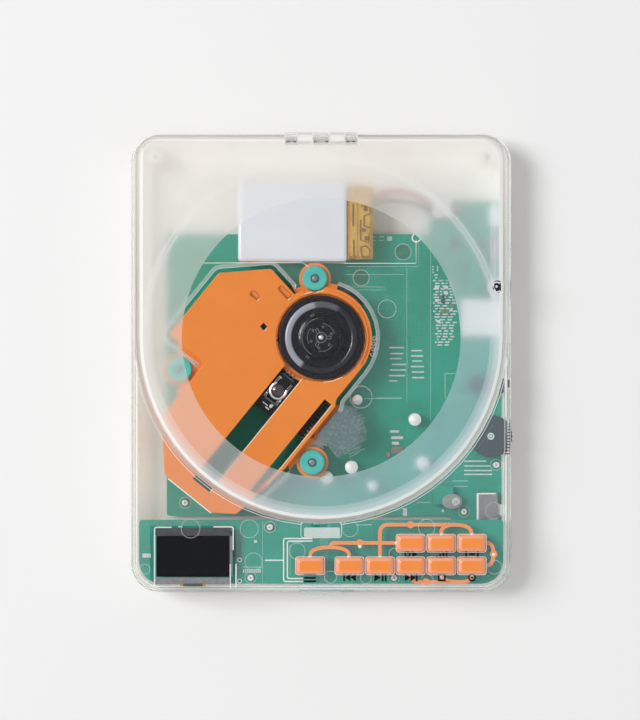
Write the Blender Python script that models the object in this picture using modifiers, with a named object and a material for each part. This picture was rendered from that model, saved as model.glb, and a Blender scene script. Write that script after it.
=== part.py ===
"""Portable CD player with a hinged clear lid, a see-through deck and an open drive.

Metres, +Z up. X runs to the right, Y towards the hinge, and the origin is the middle of the
footprint at the surface that the feet stand on. Heights are stacked from the feet upwards.
"""
import math

import bmesh
import bpy
from mathutils import Matrix, Vector

for old in list(bpy.data.objects):
    bpy.data.objects.remove(old, do_unlink=True)

# Working distances
FIT = 0.0003            # gap between pieces that seat on each other
SLIP = 0.0005           # gap round a piece that moves past another
OVERRUN = 0.001         # how far a cutter runs past what it cuts
WELD = 0.0002           # depth that joined shapes share
MERGE = 0.000001        # points closer than this are one
SAG = 0.00010           # how far a facet may lie inside its arc

# Disc and the lid round it
DISC_RADIUS = 0.060
DISC_ROOM = 0.0035      # from the disc's edge to the wall of its well
WELL_WALL = 0.0016
LID_WALL = 0.0018
LID_DRAFT = 0.0010      # how far the lid's side leans in
LID_ROUND = 0.0022      # rounding of the lid's top edge
LID_THICKNESS = 0.0020
LID_CORNER = 0.0090
LID_ROOM = 0.0003       # from the well's wall to the inside of the lid
WINDOW_RADIUS = 0.050
WINDOW_STEP = 0.0003
BORDER = 0.0013         # from the lid's side to the side of the case

# Case
CASE_WALL = 0.0020
CASE_CORNER = 0.0100
FLOOR_THICKNESS = 0.0020
BACK_DEPTH = 0.0066     # from the circle of the lid to the back of the case
BACK_MARGIN = 0.0006    # from the lid's back to the back of the case
CASE_ROUND = 0.0012
DECK_THICKNESS = 0.0016
LAND_RISE = 0.0020      # from the floor of the well to the land under the lid
DECK_RISE = 0.0010      # from that land to the front deck
LID_SEAT = 0.0006
LID_RISE = 0.0060       # from the front deck to the top of the lid
PARTING_RISE = 0.0061   # from the main board to the parting line
LIP_HEIGHT = 0.0012
LIP_WALL = 0.0008

# Feet, boards and battery
FOOT_HEIGHT = 0.0010
FOOT_RADIUS = 0.0050
FOOT_INSET = 0.0140
BOARD_STAND = 0.0020
BOARD_THICKNESS = 0.0016
BOARD_CORNER = 0.0010
BOARD_ROOM = 0.0005
BATTERY_LIFT = 0.0005
BATTERY_THICKNESS = 0.0100
BATTERY_LENGTH = 0.0396
BATTERY_WIDTH = 0.0286
BATTERY_ROUND = 0.0012
BATTERY_ROOM = 0.0010
BATTERY_LEFT_SHARE = 0.762  # of its length, left of the hub
TAPE_LENGTH = 0.0094
TAPE_INSET = 0.0010
LEAD_RADIUS = 0.0006
PLUG_LENGTH = 0.0066
PLUG_WIDTH = 0.0060
PLUG_HEIGHT = 0.0045
PLUG_INSET = 0.0008
MAIN_BOARD_LEFT = 0.0100    # from the inside of the case
MAIN_BOARD_FRONT = 0.0265   # from the front of the case
MAIN_BOARD_TAB = 0.0047
MAIN_BOARD_STEP = 0.0121
MAIN_BOARD_STEP_X = 0.0399
FRONT_BOARD_DEPTH = 0.0231
FRONT_BOARD_GAP = 0.00064   # from the front board to the drive chassis

# Turntable
DISC_LIFT = 0.0025      # from the well's floor to the disc
TABLE_RADIUS = 0.0152
TABLE_THICKNESS = 0.0016
TABLE_BOSS_RADIUS = 0.0030
HUB_RADIUS = 0.00745
HUB_HEIGHT = 0.0025
HUB_BEVEL = 0.0008
SHAFT_RADIUS = 0.0010
SHAFT_PROUD = 0.0004
MAT_RADIUS = 0.0132
MAT_WIDTH = 0.0014
MAT_HEIGHT = 0.0004
PAWL_WIDTH = 0.0030
PAWL_SLIT = 0.0006
PAWL_LENGTH = 0.0026
PAWL_PROUD = 0.0003
PAWL_COUNT = 3

# Drive chassis, in its own axes: X from the hub along the sled's path, Y across it
DRIVE_TURN = math.radians(230.9)
PLATE_PROUD = 0.0005    # top of the chassis above the floor of the well
PLATE_THICKNESS = 0.0015
CHASSIS_WALL = 0.0015
CHASSIS_DEPTH = 0.0098
RING_RADIUS = 0.0184    # round the turntable
RING_BORE = 0.0160
CHASSIS_END_ROOM = 0.0024   # past the seats of the guide rods
CHASSIS_LEFT = 0.0268   # half widths either side of the sled's path
CHASSIS_RIGHT = 0.0198
SHOULDER_LEFT = 0.0435
SHOULDER_REACH = 0.0339
SHOULDER_START = 0.0052
NECK_BACK = 0.0080
NECK_LEFT = 0.0296
CHASSIS_CORNER = 0.0015
END_LEFT = 0.0126
END_RIGHT = 0.0089
SLED_SLOT = 0.0078
SLED_SLOT_ROOM = 0.0043     # spare length of the slot past the lens holder
RACK_SLOT = 0.0032
RACK_SLOT_START = 0.0165
RACK_SLOT_END = 0.0590
FLANGE_WIDTH = 0.0016
FLANGE_THICKNESS = 0.0012
FLANGE_DROP = 0.0037    # from the chassis's top to the flange's
FLANGE_RUN = 0.0030     # how far the flange runs on past each ear
RING_STEP = 0.0013      # width of the lower band round the ring
RING_STEP_DEPTH = 0.0007
MOTOR_DECK_DROP = 0.0024
PLATE_SLOT_WIDTH = 0.0014
PLATE_SLOT_LENGTH = 0.0036
PLATE_SLOT_STEP = 0.0075
OPENING_GAP = 0.0015    # round the chassis in the floor of the well

# Rubber dampers and the pins that hold them
DAMPER_RADIUS = 0.0046
DAMPER_GROOVE = 0.0029
DAMPER_BORE = 0.0017
DAMPER_COLLAR = 0.0018
DAMPER_PIN = 0.00095
DAMPER_PIN_PROUD = 0.0004
EAR_MARGIN = 0.0012
POST_RADIUS = 0.0026

# Spindle motor, rods and pickup
MOTOR_RADIUS = 0.0115
MOTOR_HEIGHT = 0.0052
MOTOR_BOSS = 0.0026
ROD_RADIUS = 0.0010
ROD_OFFSET = 0.0106
ROD_DROP = 0.0074       # from the chassis's top to the rods
ROD_SEAT = 0.0020
PICKUP_PLACE = 0.0247   # hub to lens with the sled fully in
DISC_MARGIN = 0.0013    # from the lens to the disc's edge with the sled fully out
SLED_LENGTH = 0.0184
SLED_HALF_WIDTH = 0.0141
SLED_HEIGHT = 0.0036
ACTUATOR_LENGTH = 0.0116
ACTUATOR_HEIGHT = 0.0040
LENS_RADIUS = 0.0024
LENS_RING = 0.0031
LENS_HEIGHT = 0.0010

# Rack and gears
TOOTH_MODULE = 0.0005
TOOTH_SLACK = 0.00008   # taken off each side of a tooth
PRESSURE_ANGLE = math.radians(20)
RACK_OFFSET = 0.0176    # hub to the pitch line, across the path
RACK_BACK = 0.0020
RACK_START = 0.0085
RACK_TEETH = 26
RACK_HEIGHT = 0.0018
WHEEL_PLACE = 0.0295
PINION_TEETH = 14
WHEEL_TEETH = 20
MOTOR_TEETH = 16
WHEEL_HEIGHT = 0.0013
GEAR_AXLE = 0.0008
SLED_MOTOR_ANGLE = math.radians(146)
SLED_MOTOR_RADIUS = 0.0046
SLED_MOTOR_HEIGHT = 0.0058
SLED_MOTOR_SHAFT = 0.00045

# Keys and their flexible arms
KEY_WIDTH = 0.0097
KEY_DEPTH = 0.0057
KEY_CORNER = 0.0008
KEY_PROUD = 0.0012
KEY_BEVEL = 0.0011
KEY_FLANGE = 0.00035
KEY_FLANGE_THICKNESS = 0.0010
KEY_STEM_RADIUS = 0.0014
KEY_STEM = 0.0011
KEY_PITCH = 0.01103
KEY_ROW_PITCH = 0.00815
FIRST_KEY_PITCH = 0.0142
KEY_RIGHT_MARGIN = 0.0142   # from the case's side to the middle of the last key
KEY_FRONT_MARGIN = 0.0094
KEY_TRAVEL = 0.0008
SWITCH_SIDE = 0.0060
SWITCH_PLAY = 0.0001
ARM_WIDTH = 0.0013
ARM_THICKNESS = 0.0010
ARM_RISE = 0.0031
ARM_PIN = 0.0014

# Display
DISPLAY_WIDTH = 0.0285
DISPLAY_DEPTH = 0.0190
GLASS_WIDTH = 0.0263
GLASS_DEPTH = 0.0147
GLASS_THICKNESS = 0.0007
DISPLAY_LEFT_MARGIN = 0.0083    # from the case's side to the display frame
DISPLAY_FRONT_MARGIN = 0.0030
DISPLAY_CORNER = 0.0005

# Latch: hook on the lid, slider in the front wall
LATCH_OFFSET = 0.0006   # the hook stands left of the middle
HOOK_WIDTH = 0.0046
HOOK_THICKNESS = 0.0012
HOOK_NOSE = 0.0008
HOOK_LENGTH = 0.0054
SLIDER_WIDTH = 0.0145
SLIDER_HEIGHT = 0.0034
SLIDER_PROUD = 0.0015
SLIDER_TRAVEL = 0.0040
SLIDER_ARM = 0.0030
SLIDER_ARM_THICKNESS = 0.0010
SLIDER_RIDGE = 0.0004
SLIDER_RIDGES = 6
CATCH_WIDTH = 0.0014
NOTCH_WIDTH = 0.0144
NOTCH_ROOM = 0.0004     # from the shell round the notch to the keys' arms
NOTCH_SINK = 0.0025
NOTCH_WALL = 0.0010

# Hinge
HINGE_INSET = 0.0017
HINGE_RISE = 0.0040
KNUCKLE_RADIUS = 0.0022
PIN_RADIUS = 0.00075
HINGE_HALF = 0.01285
KNUCKLE_SHARES = (0.222, 0.666)     # where the gaps between knuckles lie, of half the hinge

# Parts at the right-hand wall
DIAL_RADIUS = 0.00795
DIAL_PROUD = 0.0013
DIAL_THICKNESS = 0.0026
DIAL_LIFT = 0.0025
DIAL_BELOW_HUB = 0.0359
DIAL_AXLE = 0.0008
DIAL_NOTCH = 0.0004
DIAL_NOTCHES = 32
JACK_LENGTH = 0.0120
JACK_WIDTH = 0.0058
JACK_HEIGHT = 0.0050
JACK_NOZZLE = 0.0025
JACK_BORE = 0.0018
JACK_BELOW_HUB = 0.0173
USB_WIDTH = 0.0090
USB_LENGTH = 0.0073
USB_HEIGHT = 0.0032
USB_WALL = 0.0004
USB_ABOVE_HUB = 0.0320
USB_TONGUE = 0.0007
SLIDE_LENGTH = 0.0127
SLIDE_WIDTH = 0.0072
SLIDE_HEIGHT = 0.0034
SLIDE_BELOW_HUB = 0.0628
KNOB_LENGTH = 0.0040
KNOB_HEIGHT = 0.0016
KNOB_PROUD = 0.0006
KNOB_TRAVEL = 0.0020
LEVER_RADIUS = 0.00127
LEVER_ABOVE_HUB = 0.0182
LEVER_INSET = 0.0052
LEVER_TRAVEL = 0.0008

# Board screws
SCREW_HEAD = 0.0013
SCREW_HEAD_HEIGHT = 0.0008
SCREW_SHANK = 0.0006
SCREW_LENGTH = 0.0042
BOSS_RADIUS = 0.0023

# Drive sizes along the sled's path that follow from the disc
PICKUP_TRAVEL = DISC_RADIUS - DISC_MARGIN - PICKUP_PLACE
ROD_START = PICKUP_PLACE - SLED_LENGTH / 2 - SLIP - ROD_SEAT
ROD_END = PICKUP_PLACE + PICKUP_TRAVEL + SLED_LENGTH / 2 + SLIP + ROD_SEAT
SLED_SLOT_END = PICKUP_PLACE + PICKUP_TRAVEL + ACTUATOR_LENGTH / 2 + SLED_SLOT_ROOM
CHASSIS_REACH = ROD_END + CHASSIS_END_ROOM + CHASSIS_WALL
END_SLOPE = CHASSIS_RIGHT - END_RIGHT
END_CORNER = (CHASSIS_REACH - END_SLOPE / 2, END_RIGHT + END_SLOPE * 0.7)

# How far the drive reaches in front of the hub
DRIVE_FRONT = -END_CORNER[0] * math.sin(DRIVE_TURN) - END_CORNER[1] * math.cos(DRIVE_TURN) + FLANGE_WIDTH

# Plan sizes that follow from the disc and the drive
WELL_RADIUS = DISC_RADIUS + DISC_ROOM
LID_RADIUS = WELL_RADIUS + WELL_WALL + LID_ROOM + LID_WALL
CASE_HALF = LID_RADIUS + BORDER
INSIDE_HALF = CASE_HALF - CASE_WALL
FRONT_DEPTH = DRIVE_FRONT + FRONT_BOARD_GAP + FRONT_BOARD_DEPTH + BOARD_ROOM + CASE_WALL - LID_RADIUS
CASE_LENGTH = FRONT_DEPTH + 2 * LID_RADIUS + BACK_DEPTH
CASE_BACK = CASE_LENGTH / 2
CASE_FRONT = -CASE_LENGTH / 2
HUB_Y = CASE_FRONT + FRONT_DEPTH + LID_RADIUS
LID_BACK = CASE_BACK - BACK_MARGIN
LID_FRONT = HUB_Y - LID_RADIUS

# Heights, from the feet up
FLOOR_LOW = FOOT_HEIGHT + FIT
FLOOR_TOP = FLOOR_LOW + FLOOR_THICKNESS
BOARD_LOW = FLOOR_TOP + BOARD_STAND
BOARD_TOP = BOARD_LOW + BOARD_THICKNESS
BATTERY_LOW = BOARD_TOP + BATTERY_LIFT
BATTERY_TOP = BATTERY_LOW + BATTERY_THICKNESS
WELL_TOP = BATTERY_TOP + BATTERY_ROOM + DECK_THICKNESS
LAND_TOP = WELL_TOP + LAND_RISE
DECK_TOP = LAND_TOP + DECK_RISE
DECK_UNDER = DECK_TOP - DECK_THICKNESS
LAND_UNDER = LAND_TOP - DECK_THICKNESS
WELL_UNDER = WELL_TOP - DECK_THICKNESS
LID_LOW = LAND_TOP + LID_SEAT
LID_TOP = DECK_TOP + LID_RISE
LID_UNDER = LID_TOP - LID_THICKNESS
PARTING = BOARD_TOP + PARTING_RISE
PLATE_TOP = WELL_TOP + PLATE_PROUD
PLATE_UNDER = PLATE_TOP - PLATE_THICKNESS
CHASSIS_LOW = PLATE_TOP - CHASSIS_DEPTH
FLANGE_TOP = PLATE_TOP - FLANGE_DROP
FLANGE_LOW = FLANGE_TOP - FLANGE_THICKNESS
MOTOR_DECK_TOP = PLATE_TOP - MOTOR_DECK_DROP
MOTOR_DECK_LOW = MOTOR_DECK_TOP - FLANGE_THICKNESS
DISC_LOW = WELL_TOP + DISC_LIFT
ROD_HEIGHT = PLATE_TOP - ROD_DROP
KEY_LOW = DECK_UNDER - FIT - KEY_FLANGE_THICKNESS
KEY_STEM_LOW = KEY_LOW - KEY_STEM
SWITCH_TOP = KEY_STEM_LOW - KEY_TRAVEL - SWITCH_PLAY
SWITCH_HEIGHT = 0.0014
FRONT_BOARD_TOP = SWITCH_TOP - SWITCH_HEIGHT
FRONT_BOARD_LOW = FRONT_BOARD_TOP - BOARD_THICKNESS
HINGE_Y = LID_BACK - HINGE_INSET
HINGE_Z = LAND_TOP + HINGE_RISE
DIAL_LOW = BOARD_TOP + DIAL_LIFT
DIAL_TOP = DIAL_LOW + DIAL_THICKNESS
SLIDER_LOW = FRONT_BOARD_TOP + FIT
SLIDER_TOP = SLIDER_LOW + SLIDER_HEIGHT
DAMPER_LOW = FLANGE_LOW - FIT - DAMPER_COLLAR
DAMPER_TOP = FLANGE_TOP + FIT + DAMPER_COLLAR
PLUNGER_LOW = BOARD_TOP + (LAND_UNDER - BOARD_TOP) / 2

# Gear sizes
PINION_PITCH = PINION_TEETH * TOOTH_MODULE / 2
WHEEL_PITCH = WHEEL_TEETH * TOOTH_MODULE / 2
MOTOR_PITCH = MOTOR_TEETH * TOOTH_MODULE / 2
RACK_LOW = ROD_HEIGHT - RACK_HEIGHT / 2
RACK_TOP = RACK_LOW + RACK_HEIGHT
WHEEL_TOP = RACK_LOW - TOOTH_MODULE
WHEEL_LOW = WHEEL_TOP - WHEEL_HEIGHT
WHEEL_CENTRE = (WHEEL_PLACE, RACK_OFFSET + PINION_PITCH)
SLED_MOTOR_CENTRE = (
    WHEEL_CENTRE[0] + (WHEEL_PITCH + MOTOR_PITCH) * math.cos(SLED_MOTOR_ANGLE),
    WHEEL_CENTRE[1] + (WHEEL_PITCH + MOTOR_PITCH) * math.sin(SLED_MOTOR_ANGLE),
)

# Damper places in the drive's axes
DAMPERS = (
    (-RING_RADIUS * 0.825, -RING_RADIUS * 0.830),
    (SHOULDER_REACH + OPENING_GAP + DAMPER_RADIUS + EAR_MARGIN, -CHASSIS_LEFT - DAMPER_RADIUS - EAR_MARGIN),
    (WHEEL_PLACE + WHEEL_PITCH + POST_RADIUS, CHASSIS_RIGHT + DAMPER_RADIUS + FLANGE_WIDTH),
)

# Linear colour, roughness and metallic value of each kind of piece
CREAM = ((0.78, 0.75, 0.67), 0.45, 0.0)
CLEAR = ((0.80, 0.82, 0.78), 0.15, 0.0)
ORANGE = ((0.80, 0.23, 0.05), 0.45, 0.0)
TEAL = ((0.11, 0.55, 0.50), 0.60, 0.0)
DARK = ((0.02, 0.022, 0.03), 0.40, 0.0)
GREEN = ((0.03, 0.30, 0.16), 0.50, 0.0)
STEEL = ((0.60, 0.60, 0.58), 0.30, 1.0)
SILVER = ((0.68, 0.70, 0.72), 0.40, 1.0)
GOLD = ((0.65, 0.45, 0.10), 0.40, 0.0)
WHITE = ((0.80, 0.80, 0.76), 0.50, 0.0)
RED = ((0.50, 0.02, 0.02), 0.50, 0.0)
GLASS = ((0.01, 0.012, 0.015), 0.08, 0.0)

parts = bpy.data.collections.new("portable_cd_player")
cutters = bpy.data.collections.new("cutters")
bpy.context.scene.collection.children.link(parts)
bpy.context.scene.collection.children.link(cutters)

drive_axes = bpy.data.objects.new("drive_axes", None)
drive_axes.location = (0, HUB_Y, 0)
drive_axes.rotation_euler = (0, 0, DRIVE_TURN)
parts.objects.link(drive_axes)


def place(name, mesh):
    """Object for a mesh, in the parts collection."""
    shape = bpy.data.objects.new(name, mesh)
    parts.objects.link(shape)
    return shape


def from_bmesh(name, bm):
    """Object for a bmesh, which is freed."""
    mesh = bpy.data.meshes.new(name)
    bm.to_mesh(mesh)
    bm.free()
    return place(name, mesh)


def finish(shape, look, smooth=True):
    """Give a piece its own material."""
    colour, roughness, metallic = look
    paint = bpy.data.materials.new(shape.name)
    paint.use_nodes = True
    shader = paint.node_tree.nodes["Principled BSDF"]
    shader.inputs["Base Color"].default_value = (*colour, 1)
    shader.inputs["Roughness"].default_value = roughness
    shader.inputs["Metallic"].default_value = metallic
    shape.data.materials.clear()
    shape.data.materials.append(paint)
    if smooth:
        shape.data.shade_smooth()
        shape.data.set_sharp_from_angle(angle=math.radians(35))
    return shape


def combine(target, tools, operation):
    """Boolean of a piece with each tool; the tools move to the cutters."""
    for tool in tools:
        parts.objects.unlink(tool)
        cutters.objects.link(tool)
        tool.hide_render = True
        tool.display_type = "WIRE"
        boolean = target.modifiers.new(tool.name, "BOOLEAN")
        boolean.operation = operation
        boolean.solver = "EXACT"
        boolean.object = tool
    return target


def cut(target, *tools):
    return combine(target, tools, "DIFFERENCE")


def join(target, *tools):
    return combine(target, tools, "UNION")


def ride_drive(*shapes):
    """Put shapes that are modelled in the drive's axes under them."""
    for shape in shapes:
        shape.parent = drive_axes


def set_origin(shape, point):
    """Move a piece's origin to a point of its parent's space, without moving the piece."""
    shift = Vector(point) - shape.location
    shape.data.transform(Matrix.Translation(-shift))
    shape.location = Vector(point)


def arc_steps(radius, angle):
    """Number of facets that keep an arc within SAG of the true curve."""
    facet = 2 * math.acos(max(1 - SAG / radius, 0.5))
    return max(2, math.ceil(abs(angle) / facet))


def round_steps(radius):
    """Sides of a cylinder of this radius, an even number."""
    return max(10, 2 * arc_steps(radius, math.pi))


def arc(centre, radius, start, end, steps=None):
    """Points on an arc, both ends included."""
    steps = steps or arc_steps(radius, end - start)
    turns = [start + (end - start) * i / steps for i in range(steps + 1)]
    return [(centre[0] + radius * math.cos(a), centre[1] + radius * math.sin(a)) for a in turns]


def rounded(corners, growth=0.0):
    """Closed anticlockwise outline through corners (x, y, radius), grown outwards and rounded."""
    count = len(corners)
    spots = [Vector(corner[:2]) for corner in corners]
    ahead = [(spots[(i + 1) % count] - spots[i]).normalized() for i in range(count)]
    outline = []
    for i in range(count):
        before, after = ahead[i - 1], ahead[i]
        out_before = Vector((before.y, -before.x))
        out_after = Vector((after.y, -after.x))
        spot = spots[i] + (out_before + out_after) * (growth / (1 + out_before.dot(out_after)))
        turn = math.atan2(before.cross(after), before.dot(after))
        radius = corners[i][2] + (growth if turn > 0 else -growth)
        if corners[i][2] == 0 or radius <= MERGE or abs(turn) < 0.01:
            outline.append(tuple(spot))
            continue
        side = 1 if turn > 0 else -1
        start = spot - before * radius * math.tan(abs(turn) / 2)
        centre = start - out_before * radius * side
        first = math.atan2(start.y - centre.y, start.x - centre.x)
        outline += arc(centre, radius, first, first + turn, arc_steps(corners[i][2], turn))
    kept = []
    for point in outline:
        if not kept or (Vector(point) - Vector(kept[-1])).length > 2 * MERGE:
            kept.append(point)
    if (Vector(kept[0]) - Vector(kept[-1])).length <= 2 * MERGE:
        kept.pop()
    return kept


def rectangle(low, high, radius=0.0):
    """Corners of an upright rectangle, for rounded()."""
    return [
        (low[0], low[1], radius),
        (high[0], low[1], radius),
        (high[0], high[1], radius),
        (low[0], high[1], radius),
    ]


def prism(name, loops, low, high):
    """Flat outline with any holes, from one height to another, made from a filled 2D curve."""
    curve = bpy.data.curves.new(name, "CURVE")
    curve.dimensions = "2D"
    curve.fill_mode = "BOTH"
    curve.extrude = (high - low) / 2
    for loop in loops:
        spline = curve.splines.new("POLY")
        spline.points.add(len(loop) - 1)
        for point, (x, y) in zip(spline.points, loop):
            point.co = (x, y, 0, 1)
        spline.use_cyclic_u = True
    drawn = place(name + "_outline", curve)
    drawn.location.z = (low + high) / 2
    bpy.context.view_layer.update()
    graph = bpy.context.evaluated_depsgraph_get()
    mesh = bpy.data.meshes.new_from_object(drawn.evaluated_get(graph))
    bm = bmesh.new()
    bm.from_mesh(mesh)
    bmesh.ops.remove_doubles(bm, verts=bm.verts, dist=MERGE)
    bm.to_mesh(mesh)
    bm.free()
    shape = place(name, mesh)
    shape.matrix_world = drawn.matrix_world
    bpy.data.objects.remove(drawn, do_unlink=True)
    return shape


def loft(name, outline, sections):
    """Moulding whose outline(growth) changes with height: sections are (growth, height), low to high."""
    bm = bmesh.new()
    rings = []
    for growth, height in sections:
        rings.append([bm.verts.new((x, y, height)) for x, y in outline(growth)])
    bm.faces.new(list(reversed(rings[0])))
    bm.faces.new(rings[-1])
    for lower, upper in zip(rings, rings[1:]):
        count = len(lower)
        for i in range(count):
            j = (i + 1) % count
            bm.faces.new((lower[i], lower[j], upper[j], upper[i]))
    return from_bmesh(name, bm)


def box(name, low, high):
    """Box between two corners."""
    bm = bmesh.new()
    bmesh.ops.create_cube(bm, size=1)
    size = Vector(high) - Vector(low)
    middle = (Vector(high) + Vector(low)) / 2
    bmesh.ops.scale(bm, vec=size, verts=bm.verts)
    bmesh.ops.translate(bm, vec=middle, verts=bm.verts)
    return from_bmesh(name, bm)


def cylinder(name, radius, start, end):
    """Round bar between two points that lie on one of the axes' directions."""
    start, end = Vector(start), Vector(end)
    length = (end - start).length
    bm = bmesh.new()
    bmesh.ops.create_cone(
        bm, cap_ends=True, segments=round_steps(radius), radius1=radius, radius2=radius, depth=length
    )
    turn = Vector((0, 0, 1)).rotation_difference(end - start).to_matrix()
    bmesh.ops.rotate(bm, matrix=turn, verts=bm.verts)
    bmesh.ops.translate(bm, vec=(start + end) / 2, verts=bm.verts)
    return from_bmesh(name, bm)


def upright(name, radius, centre, low, high):
    """Upright cylinder over a plan point."""
    return cylinder(name, radius, (*centre, low), (*centre, high))


def turned(name, profile, centre, closed=True, steps=None):
    """Turned piece: profile of (radius, height), down the outer side and back up the bore."""
    bm = bmesh.new()
    verts = [bm.verts.new((radius, 0, height)) for radius, height in profile]
    pairs = list(zip(verts, verts[1:]))
    if closed:
        pairs.append((verts[-1], verts[0]))
    for a, b in pairs:
        bm.edges.new((a, b))
    shape = from_bmesh(name, bm)
    shape.location = (*centre, 0)
    screw = shape.modifiers.new("turn", "SCREW")
    screw.steps = steps or round_steps(max(radius for radius, height in profile))
    screw.render_steps = screw.steps
    screw.use_merge_vertices = True
    screw.merge_threshold = MERGE
    return shape


def strip(name, path, width, low, high):
    """Flat strip of even width along a path, with square ends."""
    line = [Vector(point) for point in path]
    left, right = [], []
    for i, point in enumerate(line):
        before = (point - line[i - 1]).normalized() if i else (line[1] - point).normalized()
        after = (line[i + 1] - point).normalized() if i + 1 < len(line) else before
        along = (before + after).normalized()
        reach = width / 2 / max(along.dot(before), 0.5)
        across = Vector((-along.y, along.x)) * reach
        left.append(tuple(point + across))
        right.append(tuple(point - across))
    return prism(name, [right + left[::-1]], low, high)


def bend(start, corner, end, steps=5):
    """Points of a quadratic curve that leaves start and meets end towards a corner."""
    a, b, c = Vector(start), Vector(corner), Vector(end)
    shares = [i / steps for i in range(steps + 1)]
    return [tuple(a * (1 - t) ** 2 + b * 2 * t * (1 - t) + c * t * t) for t in shares]


def on_case(x, y):
    """Plan point of the case from a point in the drive's axes."""
    point = Matrix.Rotation(DRIVE_TURN, 2) @ Vector((x, y))
    return (point.x, point.y + HUB_Y)


def case_outline(growth=0.0):
    return rounded(rectangle((-CASE_HALF, CASE_FRONT), (CASE_HALF, CASE_BACK), CASE_CORNER), growth)


def lid_outline(growth=0.0):
    """Straight sides at the back running into a half circle round the hub."""
    return rounded(
        [
            (-LID_RADIUS, LID_FRONT, LID_RADIUS),
            (LID_RADIUS, LID_FRONT, LID_RADIUS),
            (LID_RADIUS, LID_BACK, LID_CORNER),
            (-LID_RADIUS, LID_BACK, LID_CORNER),
        ],
        growth,
    )


def chassis_corners():
    """Corners of the raised plate of the chassis, in the drive's axes."""
    back_turn = math.radians(66)    # how far the ring runs on past the hub's far side
    tangent = RING_RADIUS * math.tan(back_turn / 2)
    neck = (
        -RING_RADIUS * math.cos(back_turn) + CHASSIS_CORNER * math.sin(back_turn),
        -RING_RADIUS * math.sin(back_turn) - CHASSIS_CORNER * math.cos(back_turn),
    )
    return [
        (CHASSIS_REACH, END_RIGHT, CHASSIS_CORNER),
        (*END_CORNER, CHASSIS_CORNER),
        (CHASSIS_REACH * 0.607, CHASSIS_RIGHT, CHASSIS_CORNER),
        (RING_RADIUS * 0.88, CHASSIS_RIGHT, CHASSIS_CORNER),
        (RING_RADIUS * 0.75, RING_RADIUS, CHASSIS_CORNER),
        (-RING_RADIUS, RING_RADIUS, RING_RADIUS),
        (-RING_RADIUS, -tangent, RING_RADIUS),
        (neck[0], neck[1], 0),
        (-NECK_BACK, -NECK_LEFT, CHASSIS_CORNER),
        (SHOULDER_START, -SHOULDER_LEFT, CHASSIS_CORNER),
        (SHOULDER_REACH, -SHOULDER_LEFT, CHASSIS_CORNER),
        (SHOULDER_REACH, -CHASSIS_LEFT, CHASSIS_CORNER),
        (CHASSIS_REACH * 0.79, -CHASSIS_LEFT, 2 * CHASSIS_CORNER),
        (CHASSIS_REACH, -END_LEFT, 2 * CHASSIS_CORNER),
    ]


def chassis_outline(growth=0.0):
    return rounded(chassis_corners(), growth)


def gather(name, shapes):
    """One object for several plain shapes that don't touch, to cut or join them in one go."""
    bm = bmesh.new()
    for shape in shapes:
        mesh = shape.data
        mesh.transform(shape.matrix_basis)
        bm.from_mesh(mesh)
        bpy.data.objects.remove(shape, do_unlink=True)
    return from_bmesh(name, bm)


def right_wall_opening(name, y, half, low, high):
    """Cutter through the right-hand wall."""
    return box(
        name, (INSIDE_HALF - OVERRUN, y - half, low), (CASE_HALF + OVERRUN, y + half, high)
    )


# Places that several pieces share
KEY_COLUMNS = [CASE_HALF - KEY_RIGHT_MARGIN - KEY_PITCH * step for step in (4, 3, 2, 1, 0)]
KEY_ROW = CASE_FRONT + KEY_FRONT_MARGIN
KEY_ROW_BACK = KEY_ROW + KEY_ROW_PITCH
KEYS = {
    "key_mode": (KEY_COLUMNS[0] - FIRST_KEY_PITCH, KEY_ROW),
    "key_back": (KEY_COLUMNS[0], KEY_ROW),
    "key_play": (KEY_COLUMNS[1], KEY_ROW),
    "key_forward": (KEY_COLUMNS[2], KEY_ROW),
    "key_stop": (KEY_COLUMNS[3], KEY_ROW),
    "key_sound": (KEY_COLUMNS[4], KEY_ROW),
    "key_repeat": (KEY_COLUMNS[2], KEY_ROW_BACK),
    "key_wireless": (KEY_COLUMNS[3], KEY_ROW_BACK),
    "key_section": (KEY_COLUMNS[4], KEY_ROW_BACK),
}
TOP_LANE = KEY_ROW_BACK + KEY_DEPTH / 2 + KEY_FLANGE + FIT + ARM_RISE
NOTCH_FRONT = KEY_ROW_BACK + ARM_WIDTH / 2 + NOTCH_ROOM + NOTCH_WALL
# Screw places as shares of the inside half width, and of half the case's length or the front board's depth
MAIN_SCREW_SHARES = ((-0.749, -0.621), (0.962, -0.453), (0.786, -0.660))
FRONT_SCREW_SHARES = ((-0.280, 0.890), (-0.385, 0.096), (0.397, 0.096))
MAIN_SCREWS = [(INSIDE_HALF * x, CASE_BACK * y) for x, y in MAIN_SCREW_SHARES]
FRONT_BOARD_FRONT = CASE_FRONT + CASE_WALL + BOARD_ROOM
FRONT_SCREWS = [(INSIDE_HALF * x, FRONT_BOARD_FRONT + FRONT_BOARD_DEPTH * y) for x, y in FRONT_SCREW_SHARES]
CASE_SCREW_INSET = 0.0085
CASE_SCREWS = [
    (side * (CASE_HALF - CASE_SCREW_INSET), end * (CASE_BACK - CASE_SCREW_INSET))
    for side in (-1, 1)
    for end in (-1, 1)
]
DIAL_CENTRE = (CASE_HALF + DIAL_PROUD - DIAL_RADIUS, HUB_Y - DIAL_BELOW_HUB)
JACK_Y = HUB_Y - JACK_BELOW_HUB
USB_Y = HUB_Y + USB_ABOVE_HUB
SLIDE_Y = HUB_Y - SLIDE_BELOW_HUB
LEVER_PLACE = (CASE_HALF - LEVER_INSET, HUB_Y + LEVER_ABOVE_HUB)
HOOK_LEFT = -LATCH_OFFSET - HOOK_WIDTH / 2
HOOK_LOW = LID_LOW - HOOK_LENGTH
BATTERY_Y = on_case(*DAMPERS[0])[1] + DAMPER_RADIUS + EAR_MARGIN + FIT + BATTERY_WIDTH / 2


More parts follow.
